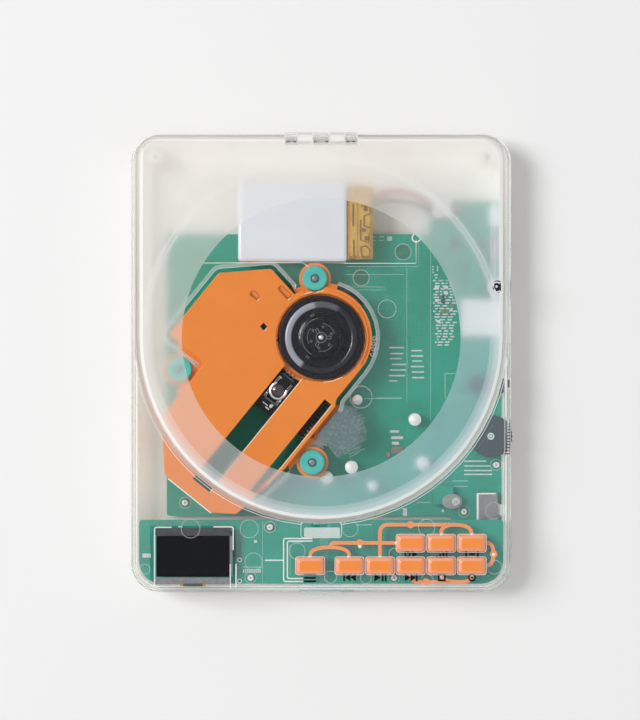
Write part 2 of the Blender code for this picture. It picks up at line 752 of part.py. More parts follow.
def make_bottom_case():
    """Tub with its bosses, damper posts, battery ribs and the openings in its walls."""
    lip = -(CASE_WALL - LIP_WALL)
    case = loft(
        "bottom_case",
        case_outline,
        [
            (-CASE_ROUND, FLOOR_LOW),
            (-CASE_ROUND * 0.29, FLOOR_LOW + CASE_ROUND * 0.29),
            (0, FLOOR_LOW + CASE_ROUND),
            (0, PARTING),
            (lip, PARTING),
            (lip, PARTING + LIP_HEIGHT),
        ],
    )
    high = PARTING + LIP_HEIGHT + OVERRUN
    cut(case, loft("case_hollow", case_outline, [(-CASE_WALL, FLOOR_TOP), (-CASE_WALL, high)]))

    low = FLOOR_TOP - WELD
    posts = [upright("boss", BOSS_RADIUS, spot, low, BOARD_LOW - FIT) for spot in MAIN_SCREWS]
    posts += [upright("boss", BOSS_RADIUS, spot, low, FRONT_BOARD_LOW - FIT) for spot in FRONT_SCREWS]
    posts += [upright("boss", BOSS_RADIUS, spot, low, PARTING) for spot in CASE_SCREWS]
    posts += [upright("post", POST_RADIUS, on_case(*spot), low, DAMPER_LOW - FIT) for spot in DAMPERS]
    rib = CASE_WALL / 2
    ribs_y = (BATTERY_Y + BATTERY_WIDTH * 0.10, BATTERY_Y + BATTERY_WIDTH * 0.40)
    posts += [
        box(
            "battery_rib",
            (-BATTERY_LENGTH * 0.6, y - rib / 2, low),
            (BATTERY_LENGTH * 0.3, y + rib / 2, BATTERY_LOW - FIT),
        )
        for y in ribs_y
    ]
    join(case, gather("case_posts", posts))
    pin_low = DAMPER_LOW - FIT - WELD
    pin_high = DAMPER_TOP + DAMPER_PIN_PROUD
    join(
        case,
        gather("damper_pins", [upright("pin", DAMPER_PIN, on_case(*s), pin_low, pin_high) for s in DAMPERS]),
    )

    pilot = SCREW_SHANK + FIT
    holes = [
        upright("pilot", pilot, spot, BOARD_TOP - SCREW_LENGTH - FIT, BOARD_LOW + OVERRUN)
        for spot in MAIN_SCREWS
    ]
    holes += [
        upright("pilot", pilot, spot, FRONT_BOARD_TOP - SCREW_LENGTH - FIT, FRONT_BOARD_LOW + OVERRUN)
        for spot in FRONT_SCREWS
    ]
    holes += [upright("pilot", pilot, spot, FLOOR_TOP - WELD, high) for spot in CASE_SCREWS]
    recess = FLOOR_THICKNESS * 0.7
    heads = [upright("recess", BOSS_RADIUS, spot, 0, FLOOR_LOW + recess) for spot in CASE_SCREWS]
    cut(case, gather("pilot_holes", holes))
    cut(case, gather("screw_recesses", heads))

    chord = math.sqrt(DIAL_RADIUS**2 - (INSIDE_HALF - DIAL_CENTRE[0]) ** 2)
    usb_low = BOARD_TOP - FIT
    openings = [
        right_wall_opening("dial_slot", DIAL_CENTRE[1], chord + SLIP, DIAL_LOW - SLIP, high),
        right_wall_opening(
            "usb_slot", USB_Y, USB_WIDTH / 2 + FIT, usb_low, BOARD_TOP + FIT + USB_HEIGHT + FIT
        ),
        right_wall_opening(
            "switch_slot",
            SLIDE_Y,
            KNOB_LENGTH / 2 + KNOB_TRAVEL + SLIP,
            BOARD_TOP + SLIDE_HEIGHT / 2 - KNOB_HEIGHT / 2 - SLIP,
            BOARD_TOP + SLIDE_HEIGHT / 2 + KNOB_HEIGHT / 2 + SLIP,
        ),
        cylinder(
            "jack_hole",
            JACK_NOZZLE + FIT,
            (INSIDE_HALF - OVERRUN, JACK_Y, BOARD_TOP + FIT + JACK_HEIGHT / 2),
            (CASE_HALF + OVERRUN, JACK_Y, BOARD_TOP + FIT + JACK_HEIGHT / 2),
        ),
    ]
    cut(case, gather("wall_openings", openings))
    finish(case, CREAM)


def hinge_block(name, left, right):
    """Knuckle lying along the hinge's axis."""
    return cylinder(name, KNUCKLE_RADIUS, (left, HINGE_Y, HINGE_Z), (right, HINGE_Y, HINGE_Z))


def make_top_deck():
    """Clear deck with the disc's well, the drive's opening, key openings and hinge knuckles."""
    deck = loft(
        "top_deck",
        case_outline,
        [(0, PARTING + FIT), (0, DECK_TOP - CASE_ROUND / 2), (-CASE_ROUND / 2, DECK_TOP)],
    )
    over = DECK_TOP + OVERRUN
    land = rounded(
        [
            (-LID_RADIUS, LID_FRONT, LID_RADIUS),
            (LID_RADIUS, LID_FRONT, LID_RADIUS),
            (LID_RADIUS, CASE_BACK + OVERRUN, 0),
            (-LID_RADIUS, CASE_BACK + OVERRUN, 0),
        ],
        SLIP,
    )
    cut(deck, prism("lid_land", [land], LAND_TOP, over))
    cut(deck, upright("disc_well", WELL_RADIUS, (0, HUB_Y), WELL_TOP, over))

    inside = case_outline(-CASE_WALL)
    below = PARTING - OVERRUN
    ring = WELL_RADIUS + WELL_WALL
    cut(deck, prism("deck_hollow", [inside], below, WELL_UNDER))
    steps = 2 * arc_steps(ring, math.pi)
    round_well = arc((0, HUB_Y), ring, 0, 2 * math.pi, steps)[:-1]
    cut(deck, prism("land_hollow", [inside, round_well], WELL_UNDER - WELD, LAND_UNDER))
    step = LID_RADIUS + SLIP + DECK_THICKNESS
    side = math.acos(INSIDE_HALF / step)
    front = rounded(
        [
            (-INSIDE_HALF, CASE_FRONT + CASE_WALL, CASE_CORNER - CASE_WALL),
            (INSIDE_HALF, CASE_FRONT + CASE_WALL, CASE_CORNER - CASE_WALL),
        ]
        + [(x, y, 0) for x, y in arc((0, HUB_Y), step, -side, side - math.pi)]
    )
    cut(deck, prism("front_hollow", [front], LAND_UNDER - WELD, DECK_UNDER))
    rebate = case_outline(-(CASE_WALL - LIP_WALL - FIT))
    cut(deck, prism("lip_rebate", [rebate], below, PARTING + LIP_HEIGHT + FIT))

    opening = prism(
        "drive_opening", [chassis_outline(OPENING_GAP)], WELL_UNDER - OVERRUN, PLATE_TOP + SLIP
    )
    ride_drive(opening)
    cut(deck, opening)
    rooms = [
        upright("room", DAMPER_RADIUS + SLIP, on_case(*spot), WELL_UNDER - OVERRUN, over) for spot in DAMPERS
    ]
    cut(deck, gather("damper_rooms", rooms))
    holes = [
        prism(
            "key_opening",
            [
                rounded(
                    rectangle(
                        (x - KEY_WIDTH / 2 - FIT, y - KEY_DEPTH / 2 - FIT),
                        (x + KEY_WIDTH / 2 + FIT, y + KEY_DEPTH / 2 + FIT),
                        KEY_CORNER,
                    )
                )
            ],
            DECK_UNDER - OVERRUN,
            over,
        )
        for x, y in KEYS.values()
    ]
    cut(deck, gather("key_openings", holes))

    gap = FIT / 2
    inner, outer = (HINGE_HALF * share for share in KNUCKLE_SHARES)
    spans = ((-HINGE_HALF, -outer - gap), (-inner + gap, inner - gap), (outer + gap, HINGE_HALF))
    join(deck, gather("deck_knuckles", [hinge_block("knuckle", *span) for span in spans]))
    stands = [
        box(
            "stand",
            (left, HINGE_Y - KNUCKLE_RADIUS * 0.8, LAND_TOP - WELD),
            (right, HINGE_Y + KNUCKLE_RADIUS * 0.8, HINGE_Z),
        )
        for left, right in spans
    ]
    join(deck, gather("knuckle_stands", stands))
    sleeves = [
        upright("sleeve", BOSS_RADIUS, spot, PARTING + FIT, LAND_UNDER + WELD)
        for spot in CASE_SCREWS
        if spot[1] > 0
    ]
    join(deck, gather("screw_sleeves", sleeves))
    notch = NOTCH_WIDTH / 2
    notch_floor = DECK_TOP - NOTCH_SINK
    join(
        deck,
        box(
            "notch_shell",
            (-notch - NOTCH_WALL, NOTCH_FRONT - NOTCH_WALL, notch_floor - NOTCH_WALL),
            (notch + NOTCH_WALL, LID_FRONT + NOTCH_WALL, DECK_UNDER + WELD),
        ),
    )
    pocket = rounded(rectangle((-notch, NOTCH_FRONT), (notch, LID_FRONT + FIT), KEY_CORNER))
    cut(deck, prism("finger_notch", [pocket], notch_floor, over))
    nose = LID_FRONT - FIT - HOOK_NOSE - SLIP
    inner_side = LID_FRONT + FIT + HOOK_THICKNESS + SLIP
    slot_low = notch_floor - NOTCH_WALL - OVERRUN
    hook_right = HOOK_LEFT + HOOK_WIDTH + SLIP
    cut(deck, box("hook_slot", (HOOK_LEFT - SLIP, nose, slot_low), (hook_right, inner_side, over)))
    slider_slot = box(
        "slider_slot",
        (-SLIDER_WIDTH / 2 - SLIP, CASE_FRONT - OVERRUN, SLIDER_LOW - SLIP),
        (SLIDER_WIDTH / 2 + SLIDER_TRAVEL + SLIP, CASE_FRONT + CASE_WALL + OVERRUN, SLIDER_TOP + SLIP),
    )
    cut(deck, slider_slot)
    pilots = [
        upright("pilot", SCREW_SHANK + FIT, spot, PARTING - OVERRUN, LAND_UNDER - SCREW_SHANK)
        for spot in CASE_SCREWS
        if spot[1] > 0
    ]
    lever_hole = upright("lever_hole", LEVER_RADIUS + FIT, LEVER_PLACE, WELL_UNDER - OVERRUN, over)
    cut(deck, gather("deck_holes", pilots + [lever_hole]))
    bore = cylinder(
        "pin_bore",
        PIN_RADIUS + FIT,
        (-HINGE_HALF - OVERRUN, HINGE_Y, HINGE_Z),
        (HINGE_HALF + OVERRUN, HINGE_Y, HINGE_Z),
    )
    cut(deck, bore)
    finish(deck, CLEAR)


def make_lid():
    """Clear lid with leaning sides, a polished window, hinge knuckles and a latch hook."""
    curve = [math.radians(angle) for angle in (0, 30, 60, 90)]
    sections = [(0, LID_LOW)] + [
        (-LID_DRAFT - LID_ROUND * (1 - math.cos(a)), LID_TOP - LID_ROUND * (1 - math.sin(a))) for a in curve
    ]
    lid = loft("lid", lid_outline, sections)
    cut(
        lid,
        loft(
            "lid_hollow",
            lid_outline,
            [(-LID_WALL, LID_LOW - OVERRUN), (-LID_WALL - LID_DRAFT, LID_UNDER)],
        ),
    )
    cut(lid, upright("window", WINDOW_RADIUS, (0, HUB_Y), LID_UNDER - OVERRUN, LID_UNDER + WINDOW_STEP))
    gap = FIT / 2
    inner, outer = (HINGE_HALF * share for share in KNUCKLE_SHARES)
    notch_front = HINGE_Y - KNUCKLE_RADIUS - SLIP
    hinge_gap = box(
        "hinge_gap",
        (-HINGE_HALF - FIT, notch_front, LID_LOW - OVERRUN),
        (HINGE_HALF + FIT, CASE_BACK + OVERRUN, LID_TOP + OVERRUN),
    )
    cut(lid, hinge_gap)
    spans = ((-outer + gap, -inner - gap), (inner + gap, outer - gap))
    join(lid, gather("lid_knuckles", [hinge_block("knuckle", *span) for span in spans]))
    webs = [
        box("web", (left, notch_front - WELD, LID_UNDER), (right, HINGE_Y, HINGE_Z + KNUCKLE_RADIUS * 0.94))
        for left, right in spans
    ]
    join(lid, gather("knuckle_webs", webs))
    front = LID_FRONT + FIT
    right = HOOK_LEFT + HOOK_WIDTH
    stem = box(
        "hook_stem",
        (HOOK_LEFT, front, HOOK_LOW),
        (right, front + HOOK_THICKNESS, LID_LOW + OVERRUN),
    )
    nose = box(
        "hook_nose",
        (HOOK_LEFT, front - HOOK_NOSE, HOOK_LOW),
        (right, front + WELD, HOOK_LOW + SLIDER_ARM_THICKNESS),
    )
    join(lid, stem, nose)
    bore = cylinder(
        "lid_bore",
        PIN_RADIUS + FIT,
        (-HINGE_HALF, HINGE_Y, HINGE_Z),
        (HINGE_HALF, HINGE_Y, HINGE_Z),
    )
    cut(lid, bore)
    finish(lid, CLEAR)
    set_origin(lid, (0, HINGE_Y, HINGE_Z))
    ends = [(side * HINGE_HALF, HINGE_Y, HINGE_Z) for side in (-1, 1)]
    pin = cylinder("hinge_pin", PIN_RADIUS, *ends)
    finish(pin, STEEL)


def make_open_slider():
    """Thumb slider in the front wall, whose arm carries the catch beside the hook."""
    half = SLIDER_WIDTH / 2
    inner = CASE_FRONT + CASE_WALL + FIT
    face = CASE_FRONT - SLIDER_PROUD + SLIDER_RIDGE
    slider = box("open_slider", (-half, face, SLIDER_LOW), (half, inner, SLIDER_TOP))
    step = SLIDER_WIDTH / SLIDER_RIDGES
    ridges = [
        cylinder(
            "ridge",
            2 * SLIDER_RIDGE,
            (x, face + SLIDER_RIDGE, SLIDER_LOW + SLIDER_RIDGE),
            (x, face + SLIDER_RIDGE, SLIDER_TOP - SLIDER_RIDGE),
        )
        for x in (-half + step * (i + 0.5) for i in range(SLIDER_RIDGES))
    ]
    join(slider, gather("slider_ridges", ridges))
    hook_front = LID_FRONT + FIT - HOOK_NOSE
    arm_end = hook_front - SLIP
    arm = box(
        "slider_arm",
        (-LATCH_OFFSET, inner - OVERRUN, SLIDER_LOW),
        (-LATCH_OFFSET + SLIDER_ARM, arm_end, SLIDER_LOW + SLIDER_ARM_THICKNESS),
    )
    catch_left = HOOK_LEFT + HOOK_WIDTH + FIT
    catch = box(
        "slider_catch",
        (catch_left, arm_end - CATCH_WIDTH, SLIDER_LOW),
        (catch_left + CATCH_WIDTH, LID_FRONT + FIT + HOOK_THICKNESS, HOOK_LOW + CATCH_WIDTH),
    )
    join(slider, arm, catch)
    finish(slider, CLEAR)


def gear_outline(teeth, centre, tooth_at):
    """Outline of an involute gear with one tooth's middle at the angle tooth_at."""
    pitch = teeth * TOOTH_MODULE / 2
    base = pitch * math.cos(PRESSURE_ANGLE)
    root = pitch - 1.2 * TOOTH_MODULE
    tip = pitch + 0.85 * TOOTH_MODULE
    half = math.pi / (2 * teeth) - TOOTH_SLACK / pitch

    def flank(radius):
        """Angle from a tooth's middle to its side at a radius."""
        def involute(r):
            pressure = math.acos(min(base / r, 1.0))
            return math.tan(pressure) - pressure
        return half + involute(pitch) - involute(max(radius, base))

    radii = (root, pitch, tip)
    points = []
    for tooth in range(teeth):
        middle = tooth_at + 2 * math.pi * tooth / teeth
        side = [(r, middle - flank(r)) for r in radii] + [(r, middle + flank(r)) for r in reversed(radii)]
        points += [(centre[0] + r * math.cos(a), centre[1] + r * math.sin(a)) for r, a in side]
    return points


def make_drive_chassis():
    """Raised plate with a skirt, flanged ears, slots for sled and rack, and its rod seats."""
    bevel = CHASSIS_WALL / 5
    chassis = loft(
        "drive_chassis",
        chassis_outline,
        [(0, CHASSIS_LOW), (0, PLATE_TOP - bevel), (-bevel, PLATE_TOP)],
    )
    inside = rounded(
        [(x, y, max(r, CHASSIS_WALL / 2)) for x, y, r in chassis_corners()], -CHASSIS_WALL
    )
    hollow = prism("chassis_hollow", [inside], CHASSIS_LOW - OVERRUN, PLATE_UNDER)
    flange = prism("chassis_flange", [rounded(chassis_corners(), FLANGE_WIDTH)], FLANGE_LOW, FLANGE_TOP)
    ears = [
        upright("ear", DAMPER_RADIUS + EAR_MARGIN, spot, FLANGE_LOW, FLANGE_TOP) for spot in DAMPERS
    ]
    motor_reach = SLED_MOTOR_RADIUS + FIT + EAR_MARGIN
    motor_ear = upright("motor_ear", motor_reach, SLED_MOTOR_CENTRE, FLANGE_LOW, FLANGE_TOP)
    through = (FLANGE_LOW - OVERRUN, FLANGE_TOP + OVERRUN)
    near_motor = upright("near_motor", motor_reach + FLANGE_RUN, SLED_MOTOR_CENTRE, *through)
    near_ears = [
        upright("near_ear", DAMPER_RADIUS + EAR_MARGIN + FLANGE_RUN, spot, *through) for spot in DAMPERS
    ]
    ride_drive(chassis, hollow, flange, *ears, motor_ear, near_motor, *near_ears)
    join(near_motor, *near_ears)
    combine(flange, [near_motor], "INTERSECT")
    join(flange, *ears, motor_ear)
    join(chassis, flange)
    cut(chassis, hollow)

    motor_deck = upright("motor_deck", RING_RADIUS - CHASSIS_WALL / 2, (0, 0), MOTOR_DECK_LOW, MOTOR_DECK_TOP)
    seats = []
    for side in (-1, 1):
        y = side * ROD_OFFSET
        for start, end in ((ROD_START, ROD_START + ROD_SEAT), (ROD_END - ROD_SEAT, CHASSIS_REACH)):
            seats.append(
                box(
                    "rod_seat",
                    (start, y - 2 * ROD_RADIUS, ROD_HEIGHT - 2 * ROD_RADIUS),
                    (end, y + 2 * ROD_RADIUS, PLATE_UNDER + WELD),
                )
            )
    seats = gather("rod_seats", seats)
    bounds = prism("seat_bounds", [chassis_outline(-CHASSIS_WALL / 2)], CHASSIS_LOW, PLATE_TOP)
    ride_drive(motor_deck, seats, bounds)
    combine(seats, [bounds], "INTERSECT")
    join(chassis, motor_deck, seats)

    over = PLATE_TOP + OVERRUN
    table_room = upright("table_room", RING_BORE, (0, 0), MOTOR_DECK_TOP, over)
    boss_hole = upright("boss_hole", MOTOR_BOSS + FIT, (0, 0), MOTOR_DECK_LOW - OVERRUN, over)
    sled_slot = box(
        "sled_slot",
        (RING_BORE * 0.8, -SLED_SLOT / 2, MOTOR_DECK_TOP + WELD),
        (SLED_SLOT_END, SLED_SLOT / 2, over),
    )
    rack_middle = RACK_OFFSET - RACK_BACK / 2
    rack_slot = box(
        "rack_slot",
        (RACK_SLOT_START, rack_middle - RACK_SLOT / 2, PLATE_UNDER - OVERRUN),
        (RACK_SLOT_END, rack_middle + RACK_SLOT / 2, over),
    )
    rack_way = box(
        "rack_way",
        (-RACK_START - SLIP, RACK_OFFSET - TOOTH_MODULE - RACK_BACK - SLIP, CHASSIS_LOW - OVERRUN),
        (CHASSIS_REACH - CHASSIS_WALL * 3, CHASSIS_RIGHT + OVERRUN, RACK_TOP + SLIP),
    )
    motor_hole = upright("sled_motor_hole", SLED_MOTOR_RADIUS + FIT, SLED_MOTOR_CENTRE, *through)
    grooves = [upright("damper_hole", DAMPER_GROOVE + FIT, spot, *through) for spot in DAMPERS]
    plain = gather("chassis_holes", [motor_hole] + grooves)
    collar = DAMPER_RADIUS + FIT
    collars = gather(
        "collar_rooms",
        [
            upright("room", collar, DAMPERS[0], FLANGE_TOP, over),
            upright("room", collar, DAMPERS[0], CHASSIS_LOW - OVERRUN, FLANGE_LOW),
        ],
    )
    slots = gather("plate_slots", [plate_slot(*spot) for spot in plate_slot_places()])
    step_angles = (math.radians(95), math.radians(240))
    step_rim = arc((0, 0), RING_RADIUS + OVERRUN, *step_angles)
    step_root = arc((0, 0), RING_RADIUS - RING_STEP, *step_angles)
    ring_step = prism("ring_step", [step_rim + step_root[::-1]], PLATE_TOP - RING_STEP_DEPTH, over)
    rods = gather(
        "rod_holes",
        [
            cylinder(
                "rod_hole",
                ROD_RADIUS + FIT,
                (ROD_START - OVERRUN, side * ROD_OFFSET, ROD_HEIGHT),
                (ROD_END + FIT, side * ROD_OFFSET, ROD_HEIGHT),
            )
            for side in (-1, 1)
        ],
    )
    tools = (table_room, boss_hole, sled_slot, rack_slot, rack_way, plain, collars, slots, rods, ring_step)
    ride_drive(*tools)
    cut(chassis, *tools)
    axle = upright("gear_axle", GEAR_AXLE, WHEEL_CENTRE, WHEEL_LOW, FLANGE_LOW + WELD)
    ride_drive(axle)
    join(chassis, axle)
    finish(chassis, ORANGE, smooth=False)


def plate_slot_places():
    """Middle, length, turn and floor of the small slots in the raised plate."""
    first = (PLATE_SLOT_LENGTH, -NECK_LEFT + PLATE_SLOT_WIDTH)
    second = (PLATE_SLOT_LENGTH - PLATE_SLOT_STEP, -NECK_LEFT + 1.2 * PLATE_SLOT_STEP)
    floor = (PLATE_TOP + PLATE_UNDER) / 2
    return (
        (*first, PLATE_SLOT_LENGTH, math.radians(95), floor),
        (*second, PLATE_SLOT_LENGTH * 1.5, math.radians(80), floor),
        (RING_RADIUS * 0.56, -RING_RADIUS, PLATE_SLOT_WIDTH * 1.3, math.radians(45), PLATE_UNDER - OVERRUN),
    )


def plate_slot(x, y, length, turn, floor):
    """Rounded slot cutter for the raised plate, turned about its middle."""
    reach, half = length / 2, PLATE_SLOT_WIDTH / 2
    slot = prism(
        "plate_slot",
        [rounded(rectangle((-reach, -half), (reach, half), half * 0.6))],
        floor,
        PLATE_TOP + OVERRUN,
    )
    slot.data.transform(Matrix.Rotation(turn, 4, "Z"))
    slot.data.transform(Matrix.Translation((x, y, 0)))
    return slot


def make_dampers():
    """Spool-shaped rubber dampers in the ears of the chassis."""
    for number, spot in enumerate(DAMPERS, 1):
        soft = DAMPER_COLLAR / 4
        profile = [
            (DAMPER_BORE, DAMPER_TOP),
            (DAMPER_RADIUS - soft, DAMPER_TOP),
            (DAMPER_RADIUS, DAMPER_TOP - soft),
            (DAMPER_RADIUS, FLANGE_TOP + FIT),
            (DAMPER_GROOVE, FLANGE_TOP + FIT),
            (DAMPER_GROOVE, FLANGE_LOW - FIT),
            (DAMPER_RADIUS, FLANGE_LOW - FIT),
            (DAMPER_RADIUS, DAMPER_LOW + soft),
            (DAMPER_RADIUS - soft, DAMPER_LOW),
            (DAMPER_BORE, DAMPER_LOW),
        ]
        finish(turned(f"damper_{number}", profile, on_case(*spot)), TEAL)


def make_spindle():
    """Spindle motor, its shaft, and the turntable with sprung pawls and a grip ring."""
    motor_top = MOTOR_DECK_LOW - FIT
    boss_top = MOTOR_DECK_TOP
    motor_low = motor_top - MOTOR_HEIGHT
    edge = MOTOR_RADIUS / 16
    profile = [
        (0, boss_top),
        (MOTOR_BOSS, boss_top),
        (MOTOR_BOSS, motor_top),
        (MOTOR_RADIUS - edge, motor_top),
        (MOTOR_RADIUS, motor_top - edge),
        (MOTOR_RADIUS, motor_low),
        (0, motor_low),
    ]
    finish(turned("spindle_motor", profile, (0, HUB_Y), closed=False), STEEL)

    hub_top = DISC_LOW + HUB_HEIGHT
    shaft = upright("spindle_shaft", SHAFT_RADIUS, (0, HUB_Y), boss_top + FIT, hub_top + SHAFT_PROUD)
    set_origin(shaft, (0, HUB_Y, 0))
    finish(shaft, STEEL)

    table_top = DISC_LOW - MAT_HEIGHT - FIT
    table_low = table_top - TABLE_THICKNESS
    bore = SHAFT_RADIUS + FIT
    profile = [
        (bore, hub_top),
        (HUB_RADIUS - HUB_BEVEL, hub_top),
        (HUB_RADIUS, hub_top - HUB_BEVEL),
        (HUB_RADIUS, DISC_LOW - MAT_HEIGHT),
        (HUB_RADIUS + HUB_BEVEL, table_top),
        (TABLE_RADIUS - HUB_BEVEL / 2, table_top),
        (TABLE_RADIUS, table_top - HUB_BEVEL / 2),
        (TABLE_RADIUS, table_low),
        (TABLE_BOSS_RADIUS, table_low),
        (TABLE_BOSS_RADIUS, boss_top + SLIP),
        (bore, boss_top + SLIP),
    ]
    table = turned("turntable", profile, (0, HUB_Y), steps=36)
    slits, noses = [], []
    for i in range(PAWL_COUNT):
        turn = Matrix.Rotation(2 * math.pi * i / PAWL_COUNT + math.pi / 2, 4, "Z")
        for side in (-1, 1):
            middle = side * (PAWL_WIDTH + PAWL_SLIT) / 2
            slit = box(
                "slit",
                (HUB_RADIUS - PAWL_LENGTH, middle - PAWL_SLIT / 2, DISC_LOW),
                (HUB_RADIUS + OVERRUN, middle + PAWL_SLIT / 2, hub_top + OVERRUN),
            )
            slit.data.transform(turn)
            slits.append(slit)
        nose = box(
            "nose",
            (HUB_RADIUS - PAWL_LENGTH / 2, -PAWL_WIDTH / 4, DISC_LOW + HUB_HEIGHT * 0.3),
            (HUB_RADIUS + PAWL_PROUD, PAWL_WIDTH / 4, DISC_LOW + HUB_HEIGHT * 0.6),
        )
        nose.data.transform(turn)
        noses.append(nose)
    slits, noses = gather("pawl_slits", slits), gather("pawl_noses", noses)
    for tool in (slits, noses):
        tool.location = (0, HUB_Y, 0)
    cut(table, slits)
    join(table, noses)
    finish(table, DARK)

    inner = MAT_RADIUS - MAT_WIDTH
    seat = table_top + FIT
    ring = [(inner, DISC_LOW), (MAT_RADIUS, DISC_LOW), (MAT_RADIUS, seat), (inner, seat)]
    finish(turned("turntable_mat", ring, (0, HUB_Y), steps=36), WHITE)


def make_pickup():
    """Sled on its two rods, with the lens, the rack and its gears, and the sled motor."""
    start = PICKUP_PLACE - SLED_LENGTH / 2
    end = PICKUP_PLACE + SLED_LENGTH / 2
    low = ROD_HEIGHT - SLED_HEIGHT / 2
    base = rounded(rectangle((start, -SLED_HALF_WIDTH), (end, SLED_HALF_WIDTH), CHASSIS_CORNER))
    sled = prism("pickup_sled", [base], low, low + SLED_HEIGHT)
    half = ACTUATOR_LENGTH / 2
    side = SLED_SLOT / 2 - FIT
    holder_top = low + SLED_HEIGHT + ACTUATOR_HEIGHT
    actuator = box(
        "actuator",
        (PICKUP_PLACE - half, -side, low + SLED_HEIGHT - WELD),
        (PICKUP_PLACE + half, side, holder_top),
    )
    coil_gap = [
        box(
            "coil_gap",
            (middle - ACTUATOR_LENGTH / 20, -side * 0.7, holder_top - ACTUATOR_HEIGHT / 2),
            (middle + ACTUATOR_LENGTH / 20, side * 0.7, holder_top + OVERRUN),
        )
        for middle in (PICKUP_PLACE - half * 0.72, PICKUP_PLACE + half * 0.72)
    ]
    spot = (PICKUP_PLACE, 0)
    rise = LENS_HEIGHT / 2
    collar = upright("lens_collar", LENS_RING, spot, holder_top - WELD, holder_top + rise)
    seat = upright(
        "lens_seat", LENS_RADIUS + FIT, spot, holder_top - LENS_HEIGHT, holder_top + LENS_HEIGHT
    )
    tab = box(
        "rack_tab",
        (start + SLED_LENGTH / 4, SLED_HALF_WIDTH - WELD, RACK_LOW),
        (end - SLED_LENGTH / 4, RACK_OFFSET - TOOTH_MODULE - RACK_BACK - FIT, RACK_TOP),
    )
    bores = [
        cylinder(
            "rod_bore",
            ROD_RADIUS + FIT,
            (start - OVERRUN, s * ROD_OFFSET, ROD_HEIGHT),
            (end + OVERRUN, s * ROD_OFFSET, ROD_HEIGHT),
        )
        for s in (-1, 1)
    ]
    coil_gaps, bores = gather("coil_gaps", coil_gap), gather("rod_bores", bores)
    ride_drive(sled, actuator, coil_gaps, collar, seat, tab, bores)
    join(sled, actuator, collar, tab)
    cut(sled, coil_gaps, seat, bores)
    finish(sled, DARK)

    lens_low = holder_top - LENS_HEIGHT + FIT
    lens = turned(
        "objective_lens",
        [
            (0, lens_low + 1.7 * LENS_HEIGHT),
            (LENS_RADIUS * 0.5, lens_low + 1.6 * LENS_HEIGHT),
            (LENS_RADIUS * 0.85, lens_low + 1.25 * LENS_HEIGHT),
            (LENS_RADIUS, lens_low + LENS_HEIGHT),
            (LENS_RADIUS, lens_low),
            (0, lens_low),
        ],
        (PICKUP_PLACE, 0),
        closed=False,
    )
    ride_drive(lens)
    finish(lens, GLASS)

    for name, s in (("guide_rod_left", -1), ("guide_rod_right", 1)):
        y = s * ROD_OFFSET
        rod = cylinder(name, ROD_RADIUS, (ROD_START, y, ROD_HEIGHT), (ROD_END, y, ROD_HEIGHT))
        ride_drive(rod)
        finish(rod, STEEL)

    pitch = math.pi * TOOTH_MODULE
    back = RACK_OFFSET - TOOTH_MODULE - RACK_BACK
    root = RACK_OFFSET - 1.2 * TOOTH_MODULE
    tip = RACK_OFFSET + 0.85 * TOOTH_MODULE
    lean = math.tan(PRESSURE_ANGLE)
    half_tooth = pitch / 4 - TOOTH_SLACK
    first = WHEEL_PLACE + pitch / 2 - pitch * round((WHEEL_PLACE + RACK_START) / pitch - 0.5)
    teeth = []
    for i in range(RACK_TEETH):
        middle = first + pitch * i
        foot = half_tooth + lean * (RACK_OFFSET - root)
        crown = half_tooth - lean * (tip - RACK_OFFSET)
        teeth += [(middle - foot, root), (middle - crown, tip)]
        teeth += [(middle + crown, tip), (middle + foot, root)]
    last = teeth[-1][0]
    outline = [(teeth[0][0] - FIT, back), (last + FIT, back), (last + FIT, root)] + teeth[::-1]
    outline.append((teeth[0][0] - FIT, root))
    rack = prism("sled_rack", [outline], RACK_LOW, RACK_TOP)
    ride_drive(rack)
    finish(rack, DARK, smooth=False)

    down = -math.pi / 2
    bore = arc(WHEEL_CENTRE, GEAR_AXLE + FIT, 0, 2 * math.pi, 16)[:-1]
    wheel = prism(
        "sled_gear", [gear_outline(WHEEL_TEETH, WHEEL_CENTRE, SLED_MOTOR_ANGLE), bore], WHEEL_LOW, WHEEL_TOP
    )
    pinion = prism(
        "gear_pinion", [gear_outline(PINION_TEETH, WHEEL_CENTRE, down), bore], WHEEL_TOP - WELD, RACK_TOP
    )
    ride_drive(wheel, pinion)
    join(wheel, pinion)
    set_origin(wheel, (*WHEEL_CENTRE, 0))
    finish(wheel, WHITE, smooth=False)

    shaft_hole = arc(SLED_MOTOR_CENTRE, SLED_MOTOR_SHAFT + FIT, 0, 2 * math.pi, 12)[:-1]
    facing = SLED_MOTOR_ANGLE + math.pi + math.pi / MOTOR_TEETH
    rim = gear_outline(MOTOR_TEETH, SLED_MOTOR_CENTRE, facing)
    small = prism("motor_pinion", [rim, shaft_hole], WHEEL_LOW, WHEEL_TOP)
    ride_drive(small)
    set_origin(small, (*SLED_MOTOR_CENTRE, 0))
    finish(small, WHITE, smooth=False)
    motor_low = WHEEL_TOP + SLIP
    motor_top = motor_low + SLED_MOTOR_HEIGHT
    edge = SLED_MOTOR_RADIUS / 8
    motor = turned(
        "sled_motor",
        [
            (0, motor_top),
            (SLED_MOTOR_RADIUS - edge, motor_top),
            (SLED_MOTOR_RADIUS, motor_top - edge),
            (SLED_MOTOR_RADIUS, motor_low),
            (SLED_MOTOR_SHAFT, motor_low),
            (SLED_MOTOR_SHAFT, WHEEL_LOW),
            (0, WHEEL_LOW),
        ],
        SLED_MOTOR_CENTRE,
        closed=False,
    )
    ride_drive(motor)
    finish(motor, STEEL)


